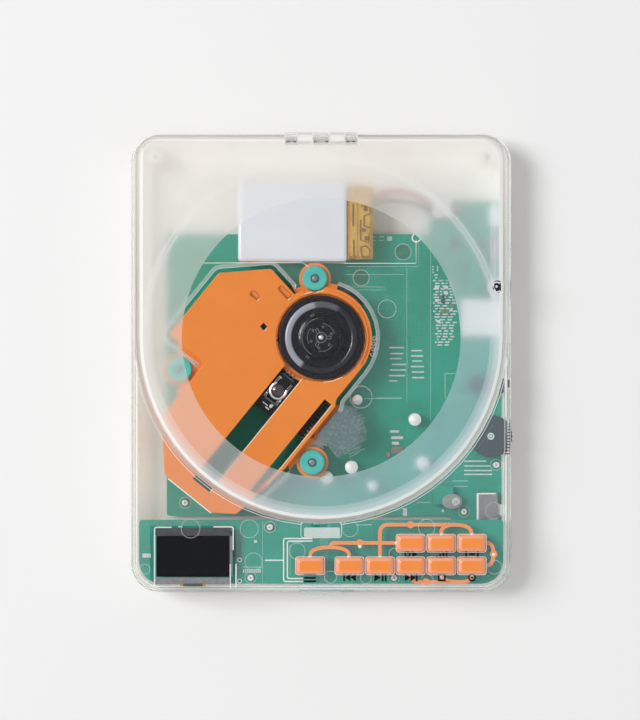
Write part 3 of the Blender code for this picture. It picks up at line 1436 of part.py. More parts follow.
def make_boards():
    """Main board under the drive, and the front board with the keys' switches soldered on."""
    side = INSIDE_HALF - BOARD_ROOM
    left = -INSIDE_HALF + MAIN_BOARD_LEFT
    low = CASE_FRONT + MAIN_BOARD_FRONT
    tab = MAIN_SCREWS[2][0] - 2 * BOSS_RADIUS
    step = BATTERY_WIDTH * 0.33
    top = BATTERY_Y - BATTERY_WIDTH / 2 + step + BOARD_CORNER
    corner = BOARD_CORNER
    outline = rounded(
        [
            (left, low, corner),
            (tab, low, corner),
            (tab, low - MAIN_BOARD_TAB, corner),
            (side, low - MAIN_BOARD_TAB, corner),
            (side, top + MAIN_BOARD_STEP, corner),
            (MAIN_BOARD_STEP_X, top + MAIN_BOARD_STEP, corner),
            (MAIN_BOARD_STEP_X, top, corner),
            (left, top, corner),
        ]
    )
    rings = [outline]
    rings += [arc(spot, SCREW_SHANK + FIT, 0, 2 * math.pi, 12)[:-1] for spot in MAIN_SCREWS]
    rings += [arc(on_case(*spot), POST_RADIUS + SLIP, 0, 2 * math.pi, 20)[:-1] for spot in DAMPERS]
    board = prism("main_board", rings, BOARD_LOW, BOARD_TOP)
    axle = upright("dial_axle", DIAL_AXLE, DIAL_CENTRE, BOARD_TOP - WELD, DIAL_TOP)
    pot = upright("dial_pot", DIAL_RADIUS / 2, DIAL_CENTRE, BOARD_TOP - WELD, DIAL_LOW - FIT)
    join(board, pot, axle)
    chips = [
        box("chip", (x - w / 2, y - d / 2, BOARD_TOP - WELD), (x + w / 2, y + d / 2, BOARD_TOP + h))
        for x, y, w, d, h in main_chips()
    ]
    join(board, gather("main_chips", chips))
    finish(board, GREEN)

    front = FRONT_BOARD_FRONT
    outline = rounded(
        [
            (-side, front, CASE_CORNER - CASE_WALL),
            (side, front, CASE_CORNER - CASE_WALL),
            (side, front + FRONT_BOARD_DEPTH, corner),
            (-side, front + FRONT_BOARD_DEPTH, corner),
        ]
    )
    rings = [outline]
    rings += [arc(spot, SCREW_SHANK + FIT, 0, 2 * math.pi, 12)[:-1] for spot in FRONT_SCREWS]
    board = prism("front_board", rings, FRONT_BOARD_LOW, FRONT_BOARD_TOP)
    half = SWITCH_SIDE / 2
    domes = SWITCH_TOP - SWITCH_HEIGHT / 4
    switches = [
        box("switch", (x - half, y - half, FRONT_BOARD_TOP - WELD), (x + half, y + half, domes))
        for x, y in KEYS.values()
    ]
    join(board, gather("switches", switches))
    domes = [upright("dome", KEY_STEM_RADIUS, spot, domes - WELD, SWITCH_TOP) for spot in KEYS.values()]
    join(board, gather("switch_domes", domes))
    finish(board, GREEN)


def main_chips():
    """Middle, size and height of the larger parts soldered to the main board."""
    unit = BOARD_THICKNESS
    right = INSIDE_HALF - BOARD_ROOM
    return (
        (right - 7.2 * unit, JACK_Y + 0.2 * unit + 19 * unit, 4.6 * unit, 4.6 * unit, 0.7 * unit),
        (right - 12.0 * unit, HUB_Y + 15 * unit, 5.0 * unit, 3.4 * unit, 0.7 * unit),
        (right - 13.4 * unit, MAIN_SCREWS[2][1] + 3.8 * unit, 4.6 * unit, 4.2 * unit, 1.9 * unit),
        (right - 18.0 * unit, HUB_Y - 20 * unit, 7.5 * unit, 7.5 * unit, 0.8 * unit),
        (right - 9.0 * unit, HUB_Y + 26 * unit, 3.2 * unit, 3.2 * unit, 0.8 * unit),
    )


def make_screws():
    """Small pan-head screws that hold the two boards."""
    spots = [(spot, BOARD_TOP) for spot in MAIN_SCREWS]
    spots += [(spot, FRONT_BOARD_TOP) for spot in FRONT_SCREWS]
    for number, (spot, seat) in enumerate(spots, 1):
        low = seat + FIT
        profile = [
            (0, low + SCREW_HEAD_HEIGHT),
            (SCREW_HEAD * 0.7, low + SCREW_HEAD_HEIGHT),
            (SCREW_HEAD, low + SCREW_HEAD_HEIGHT * 0.5),
            (SCREW_HEAD, low),
            (SCREW_SHANK, low),
            (SCREW_SHANK, seat - SCREW_LENGTH + SCREW_SHANK),
            (0, seat - SCREW_LENGTH),
        ]
        finish(turned(f"board_screw_{number}", profile, spot, closed=False), STEEL)


def make_keys():
    """Nine bevelled keys, each with its stem over a switch."""
    def outline(growth):
        half = (KEY_WIDTH / 2 + growth, KEY_DEPTH / 2 + growth)
        return rounded(rectangle((-half[0], -half[1]), half, KEY_CORNER))

    top = DECK_TOP + KEY_PROUD
    sections = [
        (KEY_FLANGE, KEY_LOW),
        (KEY_FLANGE, KEY_LOW + KEY_FLANGE_THICKNESS),
        (0, KEY_LOW + KEY_FLANGE_THICKNESS),
        (0, top - KEY_BEVEL * 0.7),
        (-KEY_BEVEL, top),
    ]
    for name, spot in KEYS.items():
        key = loft(name, outline, sections)
        stem = upright("key_stem", KEY_STEM_RADIUS, (0, 0), KEY_STEM_LOW, KEY_LOW + WELD)
        for shape in (key, stem):
            shape.location = (*spot, 0)
        join(key, stem)
        finish(key, ORANGE)


def make_key_arms():
    """Flexible arms that lead from pins in the deck to the keys, as four mouldings."""
    low = KEY_LOW
    high = KEY_LOW + ARM_THICKNESS
    reach_x = KEY_WIDTH / 2 + KEY_FLANGE + FIT
    reach_y = KEY_DEPTH / 2 + KEY_FLANGE + FIT
    lane = ARM_WIDTH / 2
    first = KEYS["key_mode"][0]
    c0, c1, c2, c3, c4 = KEY_COLUMNS
    row, back = KEY_ROW, KEY_ROW_BACK

    def pins(name, spots):
        radius = ARM_PIN / 2 + lane
        return gather(name, [upright("pin", radius, spot, low, DECK_UNDER - FIT) for spot in spots])

    shoulder = row + reach_y
    peak = (first + (c0 - first) * 0.52, row + reach_y + ARM_RISE)
    top_lane = TOP_LANE
    fork = (c3 + KEY_PITCH * 0.46, top_lane)
    turn = bend((c1, top_lane - ARM_RISE), (c1, top_lane), (c1 + ARM_RISE, top_lane))
    top = strip("key_arm_top", [(c1, shoulder)] + turn + [fork], ARM_WIDTH, low, high)
    down = back + reach_y
    branches = [
        bend((first, shoulder), (first, peak[1]), peak),
        bend((peak[0] - lane, peak[1]), (c0, peak[1]), (c0, shoulder)),
        bend((peak[0], peak[1] - lane), (peak[0], back), (peak[0] + KEY_STEM, back)),
        [(peak[0] + KEY_STEM - lane, back), (c2 - reach_x, back)],
        bend((fork[0] - lane, top_lane), (c4, top_lane), (c4, down)),
        bend((c3, down), (c3, top_lane), (fork[0], top_lane)),
    ]
    join(top, *[strip("arm", path, ARM_WIDTH, low, high) for path in branches])
    join(top, pins("arm_pins", [(c1 - KEY_PITCH * 0.66, back), (c1 + KEY_PITCH, top_lane)]))

    out = c4 + reach_x + ARM_RISE * 0.8
    centre = (row + back) / 2
    right = strip(
        "key_arm_right",
        bend((c4 + reach_x, back), (out, back), (out, centre)),
        ARM_WIDTH,
        low,
        high,
    )
    lower = strip("arm", bend((out, centre + lane), (out, row), (c4 + reach_x, row)), ARM_WIDTH, low, high)
    join(right, lower, pins("arm_pins", [(out, centre)]))

    bottom_lane = row - reach_y - ARM_RISE * 0.8
    under = row - reach_y
    end = c3 + KEY_PITCH * 0.7
    bottom = strip(
        "key_arm_bottom",
        bend((c2, under), (c2, bottom_lane), (c2 + ARM_RISE, bottom_lane)) + [(end, bottom_lane)],
        ARM_WIDTH,
        low,
        high,
    )
    last = strip("arm", bend((end - lane, bottom_lane), (c4, bottom_lane), (c4, under)), ARM_WIDTH, low, high)
    middle = strip("arm", bend((c3, under), (c3, bottom_lane), (end, bottom_lane)), ARM_WIDTH, low, high)
    join(bottom, last, middle, pins("arm_pins", [(c2 + KEY_PITCH / 2, bottom_lane)]))
    for arm in (top, right, bottom):
        finish(arm, ORANGE)


def make_display():
    """Display frame on the front board, and the dark glass in it."""
    left = -CASE_HALF + DISPLAY_LEFT_MARGIN
    front = CASE_FRONT + DISPLAY_FRONT_MARGIN
    low, high = FRONT_BOARD_TOP + FIT, DECK_UNDER - FIT
    outline = rounded(rectangle((left, front), (left + DISPLAY_WIDTH, front + DISPLAY_DEPTH), DISPLAY_CORNER))
    frame = prism("display_frame", [outline], low, high - GLASS_THICKNESS / 2)
    glass_left = left + (DISPLAY_WIDTH - GLASS_WIDTH) / 3
    glass_front = front + (DISPLAY_DEPTH - GLASS_DEPTH) * 0.56
    glass_low = high - GLASS_THICKNESS
    seat = box(
        "glass_seat",
        (glass_left - FIT, glass_front - FIT, glass_low - FIT),
        (glass_left + GLASS_WIDTH + FIT, glass_front + GLASS_DEPTH + FIT, high + OVERRUN),
    )
    cut(frame, seat)
    finish(frame, CLEAR, smooth=False)
    glass = box(
        "display_glass",
        (glass_left, glass_front, glass_low),
        (glass_left + GLASS_WIDTH, glass_front + GLASS_DEPTH, high),
    )
    finish(glass, GLASS, smooth=False)


def make_battery():
    """Pouch cell, the taped end with its protection board, its two leads and their plug."""
    left = -BATTERY_LENGTH * BATTERY_LEFT_SHARE
    right = left + BATTERY_LENGTH
    half = BATTERY_WIDTH / 2

    def outline(growth):
        low, high = (left - growth, BATTERY_Y - half - growth), (right + growth, BATTERY_Y + half + growth)
        return rounded(rectangle(low, high, BATTERY_ROUND))

    soft = BATTERY_ROUND
    cell = loft(
        "battery",
        outline,
        [
            (-soft, BATTERY_LOW),
            (-soft * 0.29, BATTERY_LOW + soft * 0.29),
            (0, BATTERY_LOW + soft),
            (0, BATTERY_TOP - soft),
            (-soft * 0.29, BATTERY_TOP - soft * 0.29),
            (-soft, BATTERY_TOP),
        ],
    )
    finish(cell, SILVER)
    start = right + FIT
    end = right + TAPE_LENGTH
    tape = loft(
        "battery_tape",
        lambda growth: rounded(
            rectangle(
                (start, BATTERY_Y - half + TAPE_INSET - growth),
                (end + growth, BATTERY_Y + half - TAPE_INSET + growth),
                BATTERY_ROUND / 2,
            )
        ),
        [
            (-soft, BATTERY_LOW + TAPE_INSET),
            (0, BATTERY_LOW + TAPE_INSET + soft),
            (0, BATTERY_TOP - TAPE_INSET - soft),
            (-soft, BATTERY_TOP - TAPE_INSET),
        ],
    )
    finish(tape, GOLD)

    plug_low = BOARD_TOP + FIT
    plug = (MAIN_BOARD_STEP_X + PLUG_INSET, BATTERY_Y + half * 0.36)
    size = (PLUG_LENGTH, PLUG_WIDTH, PLUG_HEIGHT)
    body = box(
        "battery_plug",
        (plug[0], plug[1] - size[1] / 2, plug_low),
        (plug[0] + size[0], plug[1] + size[1] / 2, plug_low + size[2]),
    )
    seam = box(
        "plug_groove",
        (plug[0] + size[0] * 0.4, plug[1] - size[1] * 0.3, plug_low + size[2] * 0.7),
        (plug[0] + size[0] + OVERRUN, plug[1] + size[1] * 0.3, plug_low + size[2] + OVERRUN),
    )
    cut(body, seam)
    finish(body, WHITE, smooth=False)
    for name, look, side in (("battery_lead_red", RED, 1), ("battery_lead_black", DARK, -1)):
        out_y = BATTERY_Y + half * 0.55 + side * LEAD_RADIUS * 2
        leaves = Vector((end + FIT, out_y, BATTERY_TOP - BATTERY_THICKNESS * 0.3))
        arrives = Vector((plug[0] - FIT, plug[1] + side * LEAD_RADIUS * 1.7, plug_low + size[2] / 2))
        bulge = Vector((0, (arrives.x - leaves.x) * (0.30 + 0.06 * side), 0))
        finish(lead(name, leaves, arrives, bulge), look)


def lead(name, start, end, bulge):
    """Round lead that leaves and arrives along X, bowed sideways by the bulge."""
    steps = 14
    span = Vector(((end.x - start.x) / 2, 0, 0))
    points = []
    for i in range(steps + 1):
        t = i / steps
        near = start + (span + bulge) * t
        far = end - (span - bulge) * (1 - t)
        ease = t * t * (3 - 2 * t)
        points.append(near.lerp(far, ease))
    curve = bpy.data.curves.new(name, "CURVE")
    curve.dimensions = "3D"
    curve.bevel_depth = LEAD_RADIUS
    curve.bevel_resolution = 1
    curve.use_fill_caps = True
    spline = curve.splines.new("POLY")
    spline.points.add(len(points) - 1)
    for target, point in zip(spline.points, points):
        target.co = (*point, 1)
    return as_mesh(name, place(name + "_route", curve))


def as_mesh(name, drawn):
    """Mesh object in place of a curve, with its caps welded on."""
    bpy.context.view_layer.update()
    graph = bpy.context.evaluated_depsgraph_get()
    mesh = bpy.data.meshes.new_from_object(drawn.evaluated_get(graph))
    bm = bmesh.new()
    bm.from_mesh(mesh)
    bmesh.ops.remove_doubles(bm, verts=bm.verts, dist=MERGE)
    bm.to_mesh(mesh)
    bm.free()
    shape = place(name, mesh)
    shape.matrix_world = drawn.matrix_world
    bpy.data.objects.remove(drawn, do_unlink=True)
    return shape


def make_dial():
    """Volume dial with a notched rim, on the axle of its potentiometer."""
    points = []
    for i in range(DIAL_NOTCHES * 2):
        radius = DIAL_RADIUS - DIAL_NOTCH * (i % 2)
        angle = math.pi * i / DIAL_NOTCHES
        points.append((DIAL_CENTRE[0] + radius * math.cos(angle), DIAL_CENTRE[1] + radius * math.sin(angle)))
    bore = arc(DIAL_CENTRE, DIAL_AXLE + FIT, 0, 2 * math.pi, 16)[:-1]
    dial = prism("volume_dial", [points, bore], DIAL_LOW, DIAL_TOP)
    dish = [
        (DIAL_AXLE * 2.2, DIAL_TOP + OVERRUN),
        (DIAL_RADIUS * 0.72, DIAL_TOP + OVERRUN),
        (DIAL_RADIUS * 0.72, DIAL_TOP - DIAL_NOTCH),
        (DIAL_AXLE * 2.2, DIAL_TOP - DIAL_NOTCH),
    ]
    cut(dial, turned("dial_dish", dish, DIAL_CENTRE))
    set_origin(dial, (*DIAL_CENTRE, 0))
    finish(dial, DARK, smooth=False)


def make_sockets():
    """Headphone jack and charging socket, with their real bores."""
    low = BOARD_TOP + FIT
    middle = low + JACK_HEIGHT / 2
    back = INSIDE_HALF - FIT
    jack = box(
        "headphone_jack",
        (back - JACK_LENGTH, JACK_Y - JACK_WIDTH / 2, low),
        (back, JACK_Y + JACK_WIDTH / 2, low + JACK_HEIGHT),
    )
    mouth = (CASE_HALF - FIT, JACK_Y, middle)
    join(jack, cylinder("nozzle", JACK_NOZZLE, (back - WELD, JACK_Y, middle), mouth))
    beyond = (CASE_HALF + OVERRUN, JACK_Y, middle)
    cut(jack, cylinder("jack_bore", JACK_BORE, (back - JACK_LENGTH * 0.8, JACK_Y, middle), beyond))
    finish(jack, DARK)

    def shell(growth):
        half, radius = USB_WIDTH / 2 + growth, USB_HEIGHT / 2 + growth
        return rounded(rectangle((-half, -radius), (half, radius), radius * 0.9))

    usb_middle = low + USB_HEIGHT / 2

    def lay(shape):
        """Turn an upright prism so that it points out of the right-hand wall."""
        shape.data.transform(shape.matrix_basis)
        shape.data.transform(Matrix(((0, 0, 1, 0), (1, 0, 0, 0), (0, 1, 0, 0), (0, 0, 0, 1))))
        shape.matrix_basis = Matrix.Translation((0, USB_Y, usb_middle))
        return shape

    mouth = CASE_HALF - FIT
    socket = lay(prism("usb_socket", [shell(0)], mouth - USB_LENGTH, mouth))
    hollow = lay(prism("usb_hollow", [shell(-USB_WALL)], mouth - USB_LENGTH * 0.85, mouth + OVERRUN))
    cut(socket, hollow)
    side, thin = USB_WIDTH * 0.37, USB_TONGUE / 2
    tongue = box(
        "usb_tongue",
        (mouth - USB_LENGTH * 0.9, USB_Y - side, usb_middle - thin),
        (mouth - USB_LENGTH * 0.15, USB_Y + side, usb_middle + thin),
    )
    join(socket, tongue)
    finish(socket, STEEL)


def make_slide_switch():
    """Slide switch can with its knob through the wall."""
    low = BOARD_TOP + FIT
    right = INSIDE_HALF - FIT - KNOB_PROUD * 3
    middle = BOARD_TOP + SLIDE_HEIGHT / 2
    can = box(
        "switch_can",
        (right - SLIDE_WIDTH, SLIDE_Y - SLIDE_LENGTH / 2, low),
        (right, SLIDE_Y + SLIDE_LENGTH / 2, low + SLIDE_HEIGHT),
    )
    reach, thin = KNOB_LENGTH / 2 + KNOB_TRAVEL + SLIP, KNOB_HEIGHT / 2
    window = box(
        "can_window",
        (right - SLIDE_WIDTH / 2, SLIDE_Y - reach, middle - thin - FIT),
        (right + OVERRUN, SLIDE_Y + reach, middle + thin + FIT),
    )
    cut(can, window)
    finish(can, STEEL, smooth=False)
    knob = box(
        "switch_knob",
        (right - SLIDE_WIDTH / 2 + FIT, SLIDE_Y - KNOB_LENGTH / 2, middle - thin),
        (CASE_HALF + KNOB_PROUD, SLIDE_Y + KNOB_LENGTH / 2, middle + thin),
    )
    cut_half = KNOB_PROUD / 3
    grooves = [
        box(
            "groove",
            (CASE_HALF + KNOB_PROUD / 2, SLIDE_Y + KNOB_LENGTH * share - cut_half, middle - KNOB_HEIGHT),
            (CASE_HALF + OVERRUN, SLIDE_Y + KNOB_LENGTH * share + cut_half, middle + KNOB_HEIGHT),
        )
        for share in (-0.28, 0, 0.28)
    ]
    cut(knob, gather("knob_grooves", grooves))
    finish(knob, WHITE, smooth=False)


def make_lid_lever():
    """Plunger of the switch that senses the closed lid."""
    top = LID_LOW - FIT
    x, y = LEVER_PLACE
    lever = turned(
        "lid_plunger",
        [
            (0, top),
            (LEVER_RADIUS * 0.6, top),
            (LEVER_RADIUS, top - LEVER_RADIUS * 0.4),
            (LEVER_RADIUS, LAND_UNDER - LEVER_TRAVEL - SLIP),
            (LEVER_RADIUS / 2, LAND_UNDER - LEVER_TRAVEL - SLIP),
            (LEVER_RADIUS / 2, PLUNGER_LOW),
            (0, PLUNGER_LOW),
        ],
        LEVER_PLACE,
        closed=False,
    )
    finish(lever, DARK)
    body_top = LAND_UNDER - 2 * LEVER_TRAVEL - 2 * SLIP
    body = box(
        "lid_switch",
        (x - 1.8 * LEVER_RADIUS, y - 2.4 * LEVER_RADIUS, BOARD_TOP + FIT),
        (x + 1.8 * LEVER_RADIUS, y + 2.4 * LEVER_RADIUS, body_top),
    )
    well_low = PLUNGER_LOW - LEVER_TRAVEL - SLIP
    well = upright("plunger_well", LEVER_RADIUS / 2 + FIT, LEVER_PLACE, well_low, body_top + OVERRUN)
    cut(body, well)
    finish(body, WHITE, smooth=False)


def make_feet():
    """Round rubber feet under the corners."""
    for number, (x, y) in enumerate(((-1, -1), (1, -1), (-1, 1), (1, 1)), 1):
        centre = (x * (CASE_HALF - FOOT_INSET), y * (CASE_BACK - FOOT_INSET))
        soft = FOOT_HEIGHT / 4
        profile = [
            (0, FOOT_HEIGHT),
            (FOOT_RADIUS, FOOT_HEIGHT),
            (FOOT_RADIUS, soft),
            (FOOT_RADIUS - soft, 0),
            (0, 0),
        ]
        finish(turned(f"foot_{number}", profile, centre, closed=False), DARK)


make_bottom_case()
make_top_deck()
make_lid()
make_open_slider()
make_drive_chassis()
make_dampers()
make_spindle()
make_pickup()
make_boards()
make_screws()
make_keys()
make_key_arms()
make_display()
make_battery()
make_dial()
make_sockets()
make_slide_switch()
make_lid_lever()
make_feet()
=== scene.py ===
import math

import bpy
import numpy as np
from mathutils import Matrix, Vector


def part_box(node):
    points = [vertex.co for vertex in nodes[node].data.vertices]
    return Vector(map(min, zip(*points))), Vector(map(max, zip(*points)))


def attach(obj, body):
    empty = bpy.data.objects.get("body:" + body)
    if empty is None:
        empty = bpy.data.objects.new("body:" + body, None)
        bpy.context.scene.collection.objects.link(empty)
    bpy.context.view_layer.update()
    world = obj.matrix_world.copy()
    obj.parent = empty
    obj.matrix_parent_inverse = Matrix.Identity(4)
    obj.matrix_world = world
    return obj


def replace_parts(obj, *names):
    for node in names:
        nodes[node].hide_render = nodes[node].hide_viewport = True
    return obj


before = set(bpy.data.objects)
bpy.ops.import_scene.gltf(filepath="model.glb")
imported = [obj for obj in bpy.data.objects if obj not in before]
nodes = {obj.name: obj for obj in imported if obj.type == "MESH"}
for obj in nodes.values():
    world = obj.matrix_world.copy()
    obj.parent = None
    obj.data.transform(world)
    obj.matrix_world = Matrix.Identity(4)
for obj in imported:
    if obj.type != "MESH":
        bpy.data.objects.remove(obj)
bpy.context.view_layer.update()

mm = 0.001                          # sizes are in millimetres, unless a note says otherwise
hub = np.array([0.0, 8.95])         # the disc's middle on the case
driveTurn = math.radians(230.9)     # the sled's path, from the case's X

# The photograph was taken from straight above
view = {
    "middle": (320, 360),           # of the picture, in pixels
    "spot": (-0.43, 0.85),          # where the camera hangs
    "height": 1029,                 # above the table
    "pixels": 2790,                 # for a millimetre that is one millimetre from the camera
    "lens": 156.94,
}


def linear(code):
    # an sRGB hex value as the linear numbers that the shaders take
    parts = [int(code[i:i + 2], 16) / 255 for i in (1, 3, 5)]
    return tuple(p / 12.92 if p <= 0.04045 else ((p + 0.055) / 1.055) ** 2.4 for p in parts) + (1.0,)


def addNode(tree, kind, *values, out=0, **settings):
    # one shader node with its settings; its inputs take values, or sockets that feed them, in their order or from a
    # dictionary by name or number, and one of its outputs comes back
    node = tree.nodes.new("ShaderNode" + kind)
    for key, value in settings.items():
        setattr(node, key, value)
    for key, value in (values[0] if isinstance(values[0], dict) else dict(enumerate(values))).items():
        if isinstance(value, bpy.types.NodeSocket):
            tree.links.new(value, node.inputs[key])
        else:
            node.inputs[key].default_value = value
    return node.outputs[out] if len(node.outputs) else node


def newMaterial(name, shade, *details):
    # shade(tree, ...) builds the nodes and gives back the shader's socket
    material = bpy.data.materials.new(name)
    material.use_nodes = True
    material.node_tree.nodes.clear()
    addNode(material.node_tree, "OutputMaterial", {"Surface": shade(material.node_tree, *details)})
    return material


def spotIn(tree):
    # Object coordinates, in metres
    return addNode(tree, "TexCoord", {}, out="Object")


def place(tree, scale=1.0):
    # Object coordinates in millimetres, times a scale
    return addNode(tree, "Mapping", {"Vector": spotIn(tree), "Scale": (scale / mm,) * 3})


def axisOf(tree, axis):
    # one of the Object coordinates, in metres
    return addNode(tree, "SeparateXYZ", spotIn(tree), out=axis)


def upright(tree):
    # how far a face looks up, from -1 to 1
    return addNode(tree, "SeparateXYZ", addNode(tree, "NewGeometry", {}, out="Normal"), out="Z")


def banded(tree, source, low, high, soft=0.08 * mm):
    # one between two values of a socket, nought outside them
    rise = addNode(tree, "MapRange", source, low - soft, low + soft)
    fall = addNode(tree, "MapRange", source, high - soft, high + soft, 1.0, 0.0)
    return addNode(tree, "Math", rise, fall, operation="MULTIPLY")


def beyond(tree, centre, radius, soft):
    # nought within a circle in plan, one outside it
    flat = addNode(tree, "VectorMath", spotIn(tree), (1, 1, 0), operation="MULTIPLY")
    middle = (centre[0] * mm, centre[1] * mm, 0)
    far = addNode(tree, "VectorMath", flat, middle, out="Value", operation="DISTANCE")
    return addNode(tree, "MapRange", far, (radius - soft) * mm, (radius + soft) * mm)


def shaded(tree, share, first, second):
    # one colour turning into another by a share; a colour is a hex value or a socket
    first, second = (linear(colour) if isinstance(colour, str) else colour for colour in (first, second))
    return addNode(tree, "Mix", {0: share, 6: first, 7: second}, out=2, data_type="RGBA")


def plastic(tree, colour, deep, rough, grain, cloud, relief, ior, sheen=0.5, paintedBevelLight=None):
    # moulded plastic or rubber: a fine spark-eroded grain, with cloudy changes of shade a few millimetres wide
    grain = addNode(tree, "TexNoise", {"Scale": 1.0, "Detail": 3.0, "Vector": place(tree, 1 / grain)})
    cloud = addNode(tree, "TexNoise", {"Scale": 1.0, "Detail": 2.0, "Vector": place(tree, 1 / cloud)})
    colour = shaded(tree, addNode(tree, "MapRange", cloud, 0.3, 0.7), colour, deep)
    if paintedBevelLight:
        # painted light: bevels and sides are painted paler than the flat top, for the light they catch
        colour = shaded(tree, addNode(tree, "MapRange", upright(tree), 0.97, 0.85), colour, paintedBevelLight)
    values = {
        "Base Color": colour,
        "Roughness": addNode(tree, "MapRange", grain, 0.3, 0.7, rough - 0.05, rough + 0.05),
        "IOR": ior,
        "Specular IOR Level": sheen,
        "Normal": addNode(tree, "Bump", {"Strength": relief, "Distance": 0.05 * mm, "Height": grain}),
    }
    return addNode(tree, "BsdfPrincipled", values)


def metal(tree, colour, deep, rough, grain, relief):
    # bare metal: base colour with fine scratches along one way
    scale = (1 / grain, 0.08 / grain, 1 / grain)
    drawn = addNode(tree, "Mapping", {"Scale": scale, "Vector": place(tree)})
    lines = addNode(tree, "TexNoise", {"Scale": 1.0, "Detail": 2.0, "Vector": drawn})
    values = {
        "Base Color": shaded(tree, lines, colour, deep),
        "Metallic": 1.0,
        "Roughness": addNode(tree, "MapRange", lines, 0.3, 0.7, rough - 0.06, rough + 0.06),
        "Normal": addNode(tree, "Bump", {"Strength": relief, "Distance": 0.02 * mm, "Height": lines}),
    }
    return addNode(tree, "BsdfPrincipled", values)


# Polycarbonate of the lid and the deck: clear, with a white haze that pales what lies below.
# Its steep faces gather light, so walls, ribs and rims show as white lines.
clear = {
    "tint": "#FEFEFE",
    "haze": "#FAF7F3",              # the white of the haze towards the lamp
    "paintedShadeHaze": "#CDEAF8",           # and cooler, painted away from it at the right and the front: painted shade
    "edgeHaze": 0.5,
    "sheen": 0.15,                  # share of a polished face's reflection that is kept
    "pip": (63.3, 27.15),           # polished spot over the lid switch's plunger, and its radius
    "pipRadius": 2.2,
    "lidBack": 15.45,
    # how far out each line of the rim lies, and how white it is
    "rimBands": [
        (60.5, 63.9, 0.27), (62.2, 62.45, 0.5), (63.9, 65.35, 0.96), (65.35, 65.65, 0.5), (65.65, 66.6, 0.96),
    ],
    "display": (-46.3, -70.2, 15.4, 11.2),      # polished in the deck: middle and half sizes
    "windowRadius": 50.0,           # polished round the disc's middle, blasted outside
    "wellRadius": 62.0,
    # haze and roughness
    "window": (0.0, 0.01),
    "frost": (0.16, 0.32),
    "well": (0.03, 0.06),
    "deck": (0.055, 0.05),
}


def seeThrough(tree, haze, rough):
    # clear plastic with a white haze; lamps and bounced light pass on to what it covers
    tint = linear(clear["tint"])
    glassy = {
        "Base Color": tint,
        "Roughness": rough,
        "IOR": 1.49,
        "Transmission Weight": 1.0,
        "Specular Tint": (clear["sheen"],) * 3 + (1.0,),
    }
    glass = addNode(tree, "BsdfPrincipled", glassy)
    away = addNode(tree, "Math", axisOf(tree, "X"), axisOf(tree, "Y"), operation="SUBTRACT")
    away = addNode(tree, "MapRange", away, -40 * mm, 75 * mm)
    steep = addNode(tree, "MapRange", addNode(tree, "Math", upright(tree), operation="ABSOLUTE"), 0.97, 0.55)
    edges = addNode(tree, "Math", steep, clear["edgeHaze"], operation="MULTIPLY")
    share = addNode(tree, "Math", haze, edges, operation="MAXIMUM")
    # the thin haze is painted cool on the side away from the lamp, as painted shade; edges and rims stay white
    thin = addNode(tree, "MapRange", share, 0.4, 0.2, 0.2, 1.0)
    paintedCool = addNode(tree, "Math", away, thin, operation="MULTIPLY")
    milk = addNode(tree, "BsdfDiffuse", {"Color": shaded(tree, paintedCool, clear["haze"], clear["paintedShadeHaze"])})
    # light inside a wall leaves it on every side, so steep faces glow through as well
    through = addNode(tree, "BsdfTranslucent", {"Color": linear(clear["haze"])})
    milk = addNode(tree, "MixShader", addNode(tree, "Math", steep, 0.85, operation="MULTIPLY"), milk, through)
    body = addNode(tree, "MixShader", share, glass, milk)
    rays = [addNode(tree, "LightPath", {}, out=ray) for ray in ("Is Shadow Ray", "Is Diffuse Ray")]
    passed = addNode(tree, "BsdfTransparent", {"Color": tint})
    return addNode(tree, "MixShader", addNode(tree, "Math", *rays, operation="MAXIMUM"), body, passed)


def fromRim(tree):
    # how far out a point lies on the lid, in metres: the radius in front of the disc's middle, and beside and behind
    # it the distance that a parallel to the lid's straight edges has, so that the whole rim shares one number
    across, deep = axisOf(tree, "X"), axisOf(tree, "Y")
    ahead = addNode(tree, "Math", deep, hub[1] * mm, operation="SUBTRACT")
    ahead = addNode(tree, "Math", ahead, 0.0, operation="MINIMUM")
    squares = [addNode(tree, "Math", side, 2.0, operation="POWER") for side in (across, ahead)]
    radius = addNode(tree, "Math", addNode(tree, "Math", *squares, operation="ADD"), operation="SQRT")
    behind = addNode(tree, "Math", deep, clear["lidBack"] * mm, operation="SUBTRACT")
    return addNode(tree, "Math", radius, behind, operation="MAXIMUM")


def lidPlastic(tree):
    # moulded clear, with the round window polished and the rest of the mould blasted
    pip = beyond(tree, clear["pip"], clear["pipRadius"], 0.05)
    zone = addNode(tree, "Math", beyond(tree, hub, clear["windowRadius"], 0.05), pip, operation="MULTIPLY")
    ends = zip(clear["window"], clear["frost"])
    haze, rough = [addNode(tree, "MapRange", zone, 0.0, 1.0, polished, blasted) for polished, blasted in ends]
    rim = fromRim(tree)
    for low, high, share in clear["rimBands"]:
        band = addNode(tree, "Math", banded(tree, rim, low * mm, high * mm), share, operation="MULTIPLY")
        band = addNode(tree, "Math", band, pip, operation="MULTIPLY")
        haze = addNode(tree, "Math", haze, band, operation="MAXIMUM")
    return seeThrough(tree, haze, rough)


def deckPlastic(tree):
    # clear, dulled a little all over, most where the disc lies over it, and polished over the display
    zone = beyond(tree, hub, clear["wellRadius"], 0.5)
    x, y, wide, deep = clear["display"]
    dull = []
    for axis, middle, reach in (("X", x, wide), ("Y", y, deep)):
        off = addNode(tree, "Math", axisOf(tree, axis), middle * mm, operation="SUBTRACT")
        off = addNode(tree, "Math", off, operation="ABSOLUTE")
        dull.append(addNode(tree, "MapRange", off, (reach - 0.1) * mm, (reach + 0.1) * mm))
    dull = addNode(tree, "Math", *dull, operation="MAXIMUM")
    ends = [addNode(tree, "MapRange", zone, 0.0, 1.0, *pair) for pair in zip(clear["well"], clear["deck"])]
    return seeThrough(tree, *[addNode(tree, "Math", end, dull, operation="MULTIPLY") for end in ends])


